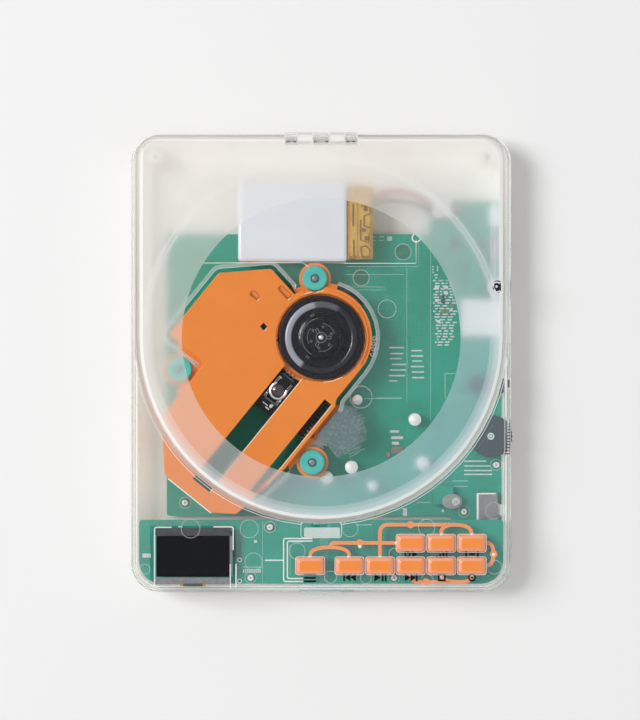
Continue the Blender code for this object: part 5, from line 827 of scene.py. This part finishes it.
# Main board: rectangles over the photograph (left, right, top, bottom), grouped by finish, with their height
mainParts = {
    "tinPads": (0.12, [
        (436.9, 440.6, 266, 271.4),
        (389, 404, 346.9, 348.3), (390, 403, 352.9, 354.3), (390, 401.5, 357.8, 359.2), (392, 406, 363.7, 365.1),
        (390, 406, 369.3, 370.7), (389, 405, 374.9, 376.3), (389, 397, 380.3, 381.5),
        (411, 422, 350, 351.3), (411, 423, 355.3, 356.7), (412, 422, 360.4, 361.7), (411, 424, 365.9, 367.3),
        (412, 424, 371.4, 372.7), (412, 424, 376.9, 378.3),
        (390, 399, 430.2, 432.6), (391, 403, 436.2, 439), (392, 399, 441.6, 444.6),
        (464, 486, 460.4, 461.8), (464, 490, 465.2, 466.6), (464, 492, 469.8, 471.2), (464, 492, 473.6, 475),
        (441.5, 444, 509.5, 512), (433, 439, 500.5, 502), (403, 407, 508, 516),
    ]),
    "silkscreen": (0.05, [
        (444.6, 445.3, 373.5, 398), (444.6, 472, 373.2, 373.9), (444.6, 472, 397.4, 398.1), (471.4, 472.1, 373.5, 398),
        (376, 401, 397.6, 398.2), (367, 368, 236.5, 241), (371, 376, 236.5, 237.3), (371, 376, 240.4, 241.1),
        (379, 384, 236.5, 237.3), (379, 384, 240.4, 241.1), (387, 392, 236.5, 241.1),
        (432, 433.6, 266, 267.4), (432, 433.6, 268.9, 270.3), (432, 433.6, 271.8, 273.2),
        (452, 468, 480.5, 481.2), (452, 468, 486, 486.7), (417, 431, 502, 502.7),
    ]),
    "greyEpoxy": (0.75, [(450, 458, 238, 251), (455, 467, 266, 271), (441, 444, 295, 303), (474, 486, 240, 246)]),
    "greyFerrite": (1.2, [(449, 462, 203, 214)]),
    "brownCeramic": (0.6, [
        (391, 403, 446.5, 453), (440.5, 444, 310.4, 312.8), (445.2, 449, 310.4, 312.8), (450, 453.4, 304, 306.4),
        (386, 390, 452, 457),
    ]),
    "orangeCeramic": (0.8, [(440.8, 447.6, 265.6, 271.8)]),
    "whitePost": (1.6, [(461, 502, 299, 336), (489, 500, 206, 226), (487, 499, 238, 246)]),
    "milkyKnob": (0.3, [
        (434.8, 438.8, 286.8, 289.6), (443.8, 448, 286, 288.9), (443.8, 448, 291.6, 294.4), (434.8, 438.8, 299, 301.9),
        (440.9, 444, 278.5, 280.9), (445.2, 448.4, 278.5, 280.9), (449.6, 452.4, 309, 311.4), (436, 440, 320, 322),
    ]),
}
# Fine pads in rows beside the window's right edge, in pixels of the photograph; their widths follow a sine
hatch = {"from": 275.0, "to": 347.0, "pitch": 2.8, "half": 0.68, "left": 433.0, "right": 453.5}


def partsOn(groups, board, name):
    # every rectangle as a small bevelled body that stands on the board
    for finish, (high, rects) in groups.items():
        bevel = min(0.12, high * 0.3)
        bodies = [patch(*spots, board + hair, board + high, 0.12, bevel) for spots in rects]
        piece(name + finish[0].upper() + finish[1:], bodies, finish)


board = heights["board"]
for k, y in enumerate(np.arange(hatch["from"], hatch["to"], hatch["pitch"])):
    x = hatch["left"] + (1.2 if y < 318 else 3.2) + 1.3 * math.sin(2.3 * k)
    while x < hatch["right"] - (0.0 if y < 340 else 8.0):
        wide = 3.4 + 1.9 * math.sin(1.7 * k + 0.9 * x)
        mainParts["tinPads"][1].append((x, x + wide, y - hatch["half"], y + hatch["half"]))
        x += wide + 1.2 + (1.5 if k % 3 else 0.2)
partsOn(mainParts, board, "mainBoard")

# Pale fan of strips where the drive's flat cable meets the board, and a speckled flat cable over the sled's motor
fan = []
for k in range(13):
    strip = [(346 + 0.25 * k, 420 + 3.1 * k), (362 + 3 * math.sin(k * 1.9), 414.5 + 3.1 * k)]
    fan.append(stroke(strip, 0.3, board + hair, board + 0.09))
piece("cableLands", fan, "silkscreen")
cover = [
    (342.5, 403.5), (352, 396), (366, 400), (376, 416), (377, 438), (367, 455), (350, 462), (336, 457),
    (327, 444.5), (318, 441.5), (316, 436),
]
cable = slab(seen(cover, 18.2)[::-1], 18.06, 18.2)
piece("motorFlatCable", [cable], "speckledCable")

# White posts that hold the board, seen as blurred blobs: spot and radius in pixels
posts = {
    "spots": [(357.4, 399.8), (415, 419.6), (351.5, 467.2), (326.8, 477.6), (423, 463.4), (373, 486)],
    "radii": [5.0, 6.2, 6.4, 6.2, 6.6, 5.0],
    "pixelsPerMm": 2.755,
    "shoulder": board + 7.4,
    "top": board + 8.2,
}
shoulder, top = posts["shoulder"], posts["top"]
sized = [(spot, radius / posts["pixelsPerMm"]) for spot, radius in zip(posts["spots"], posts["radii"])]
blobs = [dome(spot, radius, shoulder, top) for spot, radius in sized]
blobs += [lathe([(r, board + hair), (r, shoulder)], seen(spot, top)[0], 28) for spot, r in sized]
piece("boardPosts", blobs, "whitePost", smooth=True)

# Oval inductor with the end of its winding, a spiral whose radius grows with the angle
coil = {"spot": (452.0, 501.4), "half": (3.7, 2.8), "top": board + 3.2, "wire": 0.13}
middle = seen(coil["spot"], coil["top"])[0]
wave = np.linspace(0, 2 * math.pi, 40, endpoint=False)
drum = np.column_stack([np.cos(wave), np.sin(wave)]) * coil["half"] + middle
piece("inductor", [slab(drum, board + hair, coil["top"], 0.3)], "greyFerrite", smooth=True)
wound = np.linspace(0, 5.5 * math.pi, 70)
reach = 0.3 + 0.07 * wound
x, y = middle[0] + 1.5 + reach * np.cos(wound), middle[1] + reach * np.sin(wound)
spiral = np.column_stack([x, y, np.full(len(wound), coil["top"] + 0.1)])
piece("inductorWinding", [wire(spiral, coil["wire"], 6)], "whitePost", smooth=True)
wells = []
# darker green discs on the board, right under two of the marks in the deck
for spot in ((403, 252), (361, 278)):
    profile = [(8 / 2.73, board + 0.02), (8 / 2.73, board + 0.06), (0.1, board + 0.06)]
    wells.append(lathe(profile, seen(spot, board)[0], 32))
piece("darkerDiscs", wells, "darkMask")
ovals = [ring((374 - 0.6 * k, 338.5 + 5.3 * k), 0.62, 0.46, board + hair, board + 0.3, 20) for k in range(4)]
ovals.append(ring((416.2, 238), 1.5, 0.5, board + hair, board + 0.4, 24))
piece("platedHoles", ovals, "whitePost", smooth=True)
print("parts on the main board")

# Front board and the display's surround
frontParts = {
    "tinPads": (0.12, [
        (142.5, 151, 553.4, 557.6), (178.6, 182.4, 525.8, 528.4), (254, 257, 540, 542.6), (386, 390, 524, 526),
    ] + [(243.2 + 2.05 * k, 244.4 + 2.05 * k, 568.8, 572.8) for k in range(9)]),
    "darkMask": (0.05, [(231.6, 242, 529.5, 557), (395, 486, 550.6, 552.6), (395, 486, 557.6, 559.4)]),
    "silkscreen": (0.05, [(243, 262, 566.6, 567.3), (291, 303, 541.6, 542.3), (356, 372, 524.4, 525.1)]),
}
front = heights["frontBoard"]
partsOn(frontParts, front, "frontBoard")
eyes = ((239.6, 559.8), (239.6, 581))
whites = [ring(spot, 0.68, 0.36, front + hair, front + 0.25, 24) for spot in eyes]
piece("frontBoardRings", whites, "whitePost", smooth=True)
pupils = [dome(spot, 0.44, front + hair, front + 0.2, 16) for spot in eyes]
piece("frontBoardPins", pupils, "blackFlex", smooth=True)

# foils round the panel, each a rectangle over the photograph, and the panel's own flat cable
foils = {"low": 20.78, "high": 20.88, "cableLow": 20.9}
for name, rects, finish in (
    ("screenUpperFoil", [(154.8, 230.6, 527.6, 535.4)], "darkScreenFoil"),
    ("screenLowerFoil", [(154.8, 230.6, 577.4, 584.4)], "silverScreenFoil"),
    ("screenSideFoils", [(153.6, 156, 535.8, 577), (229.9, 232.6, 535.8, 577)], "silverScreenFoil"),
):
    piece(name, [patch(*spots, foils["low"], foils["high"]) for spots in rects], finish)
z = foils["cableLow"]
piece("screenCable", [patch(183.4, 202.6, 583.4, 586.4, z, z + 0.12)], "greyEpoxy")
gilt = [patch(left, right, 584, 586.2, z, z + 0.1) for left, right in ((180.2, 183.2), (202.8, 206))]
piece("screenCableEnds", gilt, "amberFlex")
print("front board and screen surround")

# Screw heads: crossed slots as painted shade, dark bars laid on each head, with a pale ring of the boss below and a
# ring of painted shade inside it
slotShades, bosses, caps, shades = [], [], [], []
for name in [n for n in nodes if n.startswith("board_screw_")]:
    spot, top = topOf(name)
    base = top - 1.05
    slotShades += [bar(spot, turn, 1.1, 0.2, 0.06, top + 0.003, top + 0.02) for turn in (0.4, 0.4 + math.pi / 2)]
    caps.append(lathe([(1.0, top - 0.1), (1.0, top - 0.02), (0.9, top + 0.002)], spot, 24))
    bosses.append(hoop(spot, 1.9, 2.12, base, base + 0.12, 36))
    shades.append(hoop(spot, 1.1, 1.88, base, base + 0.06, 36))
piece("screwSlotShades", slotShades, "greyEpoxy")
piece("screwCaps", caps, "whitePost", smooth=True)
piece("screwLands", bosses, "silkscreen")
piece("screwShades", shades, "darkMask")

# Case screws sunk in the underside
caseScrews = {
    "x": 60.0,
    "y": 74.25,
    "head": [(0.1, 2.68), (1.95, 2.68), (1.95, 1.95), (1.5, 1.68), (0.1, 1.62)],        # radius and height
}
heads, crossShades = [], []
for x in (-caseScrews["x"], caseScrews["x"]):
    for y in (-caseScrews["y"], caseScrews["y"]):
        heads.append(lathe(caseScrews["head"], (x, y), 36))
        # painted shade: black crosses on the heads stand for their crossed slots
        crossShades += [bar((x, y), turn, 2.0, 0.45, 0.1, 1.58, 1.62) for turn in (0.6, 0.6 + math.pi / 2)]
piece("caseScrews", heads, "brightSteel", smooth=True)
piece("caseScrewSlotShades", crossShades, "blackInkAndShade")
print("screws")

# Turntable: glossy rubber ring with a painted highlight in place of the plain one, painted highlights on the hub's
# rings and three pawls, and their slots in painted shade
table = {
    "ringFoot": 22.1,
    "pawls": (0.0, 2.0944, 4.1888),
    "pawlRadius": 2.7,
    "rounds": (0.35, 1.4, 2.45, 3.5, 4.5, 5.55),
    "ribs": (1.9, 1.99, 4.05, 4.14),
    "tip": [(0.95, 25.41), (0.9, 25.6), (0.7, 25.82), (0.4, 25.95), (0.04, 26.0)],      # radius and height
}
z = table["ringFoot"]
bulge = [(11.9 + 1.15 * math.cos(a), z + 0.42 * math.sin(a)) for a in np.linspace(0, math.pi, 9)]
bulge += [(10.8, z - 0.02), (13.0, z - 0.02)]
rubberRing = lathe(bulge, hub, 96, closed=True)
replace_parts(piece("rubberRing", [rubberRing], "ringRubberPaintedSheen", "turntable", smooth=True), "turntable_mat")
z = topOf("turntable")[1]
# pale marks on the hub's rings, rounds, pawls and ribs: painted highlights
pale = [hubArc(1.85, 0, 6.2, 0.3, z + skim, z + skim + 0.05), hubArc(6.95, 1.75, 4.2, 0.3, 24.7, 24.75)]
pale += [hubArc(5.0, start, start + 1.2, 0.18, z + skim, z + skim + 0.05) for start in (0.3, 2.4, 4.5)]
pale += [hoop(byHub(3.9, angle), 0.26, 0.48, z + skim, z + 0.03, 16) for angle in table["rounds"]]
pawlSpots = [(byHub(table["pawlRadius"], angle), angle) for angle in table["pawls"]]
pale += [bar(*pawl, 1.9, 1.2, 0.2, z + skim, z + 0.016) for pawl in pawlSpots]
pale += [bar(byHub(8.6, angle), angle, 0.9, 0.4, 0.1, 21.82, 23.6) for angle in table["ribs"]]
piece("hubHighlights", pale, "paleHubHighlight", "turntable")
piece("spindleTip", [lathe(table["tip"], hub, 24)], "brightSteel", "turntable", smooth=True)
# painted shade: dark bars for the slots beside the pawls
pawls = [bar(*pawl, 1.45, 0.75, 0.2, z + 0.018, z + 0.03) for pawl in pawlSpots]
piece("pawlSlotShades", pawls, "blackInkAndShade", "turntable")
print("turntable")

# Flat cable of the spindle motor, seen in the gap beside the ring
cable = hubArc(19.25, math.radians(38), math.radians(70), 1.1, 17.4, 17.55, 20)
piece("motorCable", [cable], "blackFlex")

# Pickup: sprung wires round the lens and the holder's bright clamps, in its own axes; ahead is the sled's way
ahead = np.array([math.cos(driveTurn), math.sin(driveTurn)])
aside = np.array([-ahead[1], ahead[0]])
lensSpot = topOf("objective_lens")[0]
springs = {
    "height": 19.45,
    "curls": [(2.75, 0.1), (3.1, -0.15)],       # radius, and how much higher than the rest
    "curlWire": 0.22,
    "offsets": (-2.9, -2.3, 2.3, 2.9),
    "wire": 0.1,
}
z = springs["height"]
angle = np.linspace(-2.3, 2.3, 30)
curl = []
for radius, lift in springs["curls"]:
    spots = lensSpot + radius * (np.cos(angle)[:, None] * ahead + np.sin(angle)[:, None] * aside)
    curl.append(wire(np.column_stack([spots, z + lift + 0.12 * np.sin(angle * 2)]), springs["curlWire"], 8))
t = np.linspace(-4.6, 4.6, 12)[:, None]
for offset in springs["offsets"]:
    spots = lensSpot + t * ahead + (offset + 0.12 * np.cos(t * 1.2)) * aside
    curl.append(wire(np.column_stack([spots, np.full(12, z - 0.1)]), springs["wire"], 6))
piece("lensSprings", curl, "brightSteel", "pickup", smooth=True)


def onSled(forth, off, long, wide, high, corner=0.15):
    # a flat box on the sled: how far it lies along the sled's way and across it from the lens
    corner = min(corner, 0.4 * long, 0.4 * wide)
    return bar(lensSpot + forth * ahead + off * aside, driveTurn, long, wide, corner, 19.42, high, 0.05)


sledParts = {
    "sledRibs": ("greyEpoxy", "dark_plastic", [
        (-6.0, 0.0, 0.5, 5.0, 19.5), (-7.4, 1.4, 1.6, 0.5, 19.5), (-7.4, -0.2, 1.6, 0.5, 19.5),
        (-7.4, -1.8, 1.6, 0.5, 19.5), (4.6, 0.2, 0.6, 5.4, 19.6),
    ]),
    "sledClamps": ("brightSteel", "steel", [
        (5.9, 1.6, 1.5, 1.1, 19.7, 0.4), (6.6, -0.6, 0.4, 2.2, 19.6), (7.4, 1.0, 0.5, 1.6, 19.6),
        (-4.3, -2.3, 0.4, 1.1, 19.6), (3.2, -2.6, 0.5, 0.5, 19.6), (2.4, 3.0, 0.9, 0.35, 19.6),
    ]),
}
for name, (finish, slot, boxes) in sledParts.items():
    piece(name, [onSled(*box) for box in boxes], finish, "pickup")
print("pickup")

# Dampers: painted shade in the bore as a darker ring, and fine ridges on the collar; the pin's end shows in the middle
boreShades, ridges, tips = [], [], []
for name in dampers:
    spot, z = topOf(name)
    boreShades.append(hoop(spot, 1.02, 1.64, z - 0.3, z - 0.05, 32))
    for radius in (2.3, 3.4):
        turns = np.linspace(0, 2 * math.pi, 9)[:-1]
        rib = np.column_stack([radius + 0.12 * np.cos(turns), z + 0.02 + 0.06 * np.sin(turns)])
        ridges.append(lathe(rib, spot, 40, closed=True))
    tips.append(lathe([(1.0, z + 0.01), (1.0, z + 0.42), (0.7, z + 0.6), (0.04, z + 0.64)], spot, 24))
piece("damperBoreShades", boreShades, "tealBoreShade", smooth=True)
piece("damperPins", tips, "silverScreenFoil", smooth=True)
piece("damperRidges", ridges, "tealSilicone", smooth=True)

# Two oblong recesses in the drive's plate, outlined in painted shade, and round the turntable painted shade along its
# grooves and in a diamond hole and a notch
plate = {
    "recesses": [((255, 295), 3.0), ((284.5, 292), 4.8)],       # spot in pixels, and length
    "turn": math.radians(-45),
    "grooves": [(16.3, 1.75, 4.35), (16.2, 5.2, 6.9)],          # radius, and angles from and to
    "diamond": [(263.5, 322.6), (260, 326.4), (263.8, 330.6), (267.3, 326.6)],
    "notch": [(279.6, 336.6), (275.8, 340.2), (279.6, 343.4)],
}
low, high = heights["plate"] + 0.002, heights["plate"] + 0.03
floors, outlines = [], []
for spot, long in plate["recesses"]:
    middle = seen(spot, heights["plate"])[0]
    floors.append(bar(middle, plate["turn"], long, 1.15, 0.4, 19.76, 19.8))
    outlines.append(laid(closedRibbon(roundBox(long + 0.6, 1.9, 0.9), 0.32, low, high), middle, plate["turn"]))
piece("recessFloors", floors, "orangeAbs")
outlines += [hubArc(radius, start, end, 0.3, low, high, 60) for radius, start, end in plate["grooves"]]
piece("plateOutlines", outlines, "shadedOrange")
z = heights["plate"] + 0.04
plateHoleShades = [slab(seen(plate[name], z), z - 0.03, z) for name in ("diamond", "notch")]
piece("plateHoleShades", plateHoleShades, "blackInkAndShade")

# The joint between case and deck shows through the deck's wall as fine lines round the rim: how far in, and how wide
for name, depth, width, finish in (
    ("jointShade", 0.22, 0.16, "jointGrey"),
    ("jointLight", 0.62, 0.34, "whitePost"),
    ("jointInner", 1.02, 0.18, "jointGrey"),
):
    rim = roundBox(2 * (68.5 - depth), 2 * (82.75 - depth), 10.0 - depth)
    piece(name, [closedRibbon(rim, width, 13.31, 13.36)], finish)
# Shaded slits of the hinge: middle and width in pixels
slits = ((288.6, 3.4), (294.8, 3.0), (315.4, 3.2), (326.8, 3.0), (348.0, 2.6), (353.6, 2.6))
slits = [patch(x - w / 2, x + w / 2, 140.9, 142.1, 28.203, 28.23, 0.1) for x, w in slits]
piece("hingeSlits", slits, "hingeShade")
print("dampers, recesses and hinge")

# Battery: foil seams folded along its long sides, and the brown cells of its guard board under the tape
seams = [stroke([(240.5, y), (345.5, y)], 0.7, 9.2, 9.9) for y in (262.6, 182.3)]
piece("batterySeams", seams, "pouchFoil")
guard = {
    "height": 16.42,
    "loops": [
        [(360.5, 206), (370, 206), (370, 214), (364, 216), (364, 226), (370, 228)],
        [(360.5, 220), (360.5, 240), (369, 243), (369, 233)],
        [(361, 247), (366, 246), (370, 250), (369, 257), (363, 258), (361, 252), (361, 247)],
        [(353, 204), (353, 226)], [(353.5, 240), (354, 259)],
    ],
    "cells": [(363.5, 367.5, 206.5, 211), (364.5, 369, 236, 240.5), (362, 366, 228.5, 231.5)],
    "folds": [(347.6, 349.2, 190, 260), (356.8, 358, 190, 260)],
}
z = guard["height"]
cells = [stroke(path, 0.42, z, z + 0.3) for path in guard["loops"]]
cells += [patch(*spots, z, z + 0.35, 0.3, 0.08) for spots in guard["cells"]]
piece("guardBoardParts", cells, "goldShade")
piece("tapeFolds", [patch(*spots, z, z + 0.12, 0.1) for spots in guard["folds"]], "amberFlex")

# Right side: a painted highlight along the switch can's edge, the jack's block, nozzle and mouth, a painted glint on
# the plunger, the dial's hub and the wedge of marks beside it
z = 10.62
can = [patch(*spots, z, z + 0.06) for spots in ((476.6, 478.6, 493.2, 527), (478.6, 495.6, 492.9, 494.2))]
piece("canEdgeHighlight", can, "whitePost")
z = 13.38
for name, spots, low, high, finish in (
    ("jackBlock", (498.6, 506, 378.6, 391.8), z, z + 0.04, "blackPvc"),
    ("jackNozzle", (506.1, 510.8, 377.8, 389.4), z, z + 0.04, "whitePost"),
    ("jackMouth", (507.2, 510, 379.6, 387.6), z + 0.05, z + 0.08, "greyEpoxy"),
):
    piece(name, [patch(*spots, low, high, 0.3)], finish)
z = topOf("lid_plunger")[1]
# painted glint: a white dot on the plunger's black head
glint = dome((496.5, 286.6), 0.42, z + 0.003, z + 0.1, 16)
piece("plungerGlint", [glint], "whitePost", "lid_plunger", smooth=True)
spot, z = (490.8, 436.2), 12.02
dial = [ring(spot, 1.05, 0.42, z, z + 0.2, 28), dome(spot, 0.45, z, z + 0.25, 20)]
piece("dialHub", dial, "whitePost", "volume_dial", smooth=True)
ticks = []
for k in range(12):
    ticks.append(patch(509.2 - 0.42 * k, 510, 420.2 + 3 * k, 421.2 + 3 * k, deckTop + skim, inkTop, 0.03))
piece("dialMarks", ticks, "blackInkAndShade")

# Caps that pin the key arms, and the pale latch plate in the finger notch
dots = [
    (310, 557.2), (348.5, 557.2), (380, 557.2), (396.5, 543), (441.5, 534.6), (472, 534.6), (410, 574.6), (442, 577),
    (472.5, 575.5), (360, 546.5), (493.7, 554.5),
]
z = 21.12
pins = [dome(spot, 0.62, z, z + 0.2, 20) for spot in dots]
piece("armPins", pins, "whitePost", smooth=True)
latch = patch(304, 340, 527.5, 537.5, 20.52, 20.6, 0.6)
piece("latchPlate", [latch], "softPolycarbonate")
print("battery, right side, arms and latch")


# Pale floor, soft light from the upper left, and the photograph's view from above; places and sizes in metres
studio = {
    "floor": "#F8F8F8",
    "floorFar": "#F7F7F7",
    "floorSize": 1.2,
    "world": 0.46,
    # strength, place and size of each soft box
    "softBoxKey": (0.60, (-1.65, 0.55, 1.9), 1.1),
    "softBoxFill": (0.08, (0.5, -0.3, 0.9), 0.8),
}


def floorPaper(tree):
    # matt paper: even, with a faint tooth
    tooth = addNode(tree, "TexNoise", {"Scale": 1 / 2, "Detail": 2.0, "Vector": place(tree)})
    colour = shaded(tree, tooth, studio["floor"], studio["floorFar"])
    return addNode(tree, "BsdfPrincipled", {"Base Color": colour, "Roughness": 0.9, "Specular IOR Level": 0.1})


half = studio["floorSize"] / 2
floorMesh = bpy.data.meshes.new("floor")
floorMesh.from_pydata([(-half, -half, 0), (half, -half, 0), (half, half, 0), (-half, half, 0)], [], [(0, 1, 2, 3)])
floorMesh.materials.append(newMaterial("floorPaper", floorPaper))
floor = bpy.data.objects.new("floor", floorMesh)
bpy.context.scene.collection.objects.link(floor)

world = bpy.data.worlds.new("studioWorld")
world.use_nodes = True
world.node_tree.nodes["Background"].inputs["Color"].default_value = (1, 1, 1, 1)
world.node_tree.nodes["Background"].inputs["Strength"].default_value = studio["world"]
bpy.context.scene.world = world

for name in ("softBoxKey", "softBoxFill"):
    # a square soft box that faces the object; its power gives the same light on the object from any distance
    strength, spot, size = studio[name]
    lamp = bpy.data.lights.new(name, "AREA")
    lamp.size = size
    lamp.energy = strength * math.pi * math.dist(spot, (0, 0, 0)) ** 2 * math.pi
    holder = bpy.data.objects.new(name, lamp)
    holder.location = spot
    holder.rotation_euler = (math.atan2(math.hypot(spot[0], spot[1]), spot[2]), 0, math.atan2(spot[0], -spot[1]))
    bpy.context.scene.collection.objects.link(holder)

lens = bpy.data.cameras.new("photoCamera")
lens.sensor_fit = "HORIZONTAL"
lens.sensor_width = 36
lens.lens = view["lens"]
lens.clip_start = 0.05
camera = bpy.data.objects.new("photoCamera", lens)
camera.location = (*(side * mm for side in view["spot"]), view["height"] * mm)
bpy.context.scene.collection.objects.link(camera)
bpy.context.scene.camera = camera
bpy.context.scene.view_settings.view_transform = "Standard"
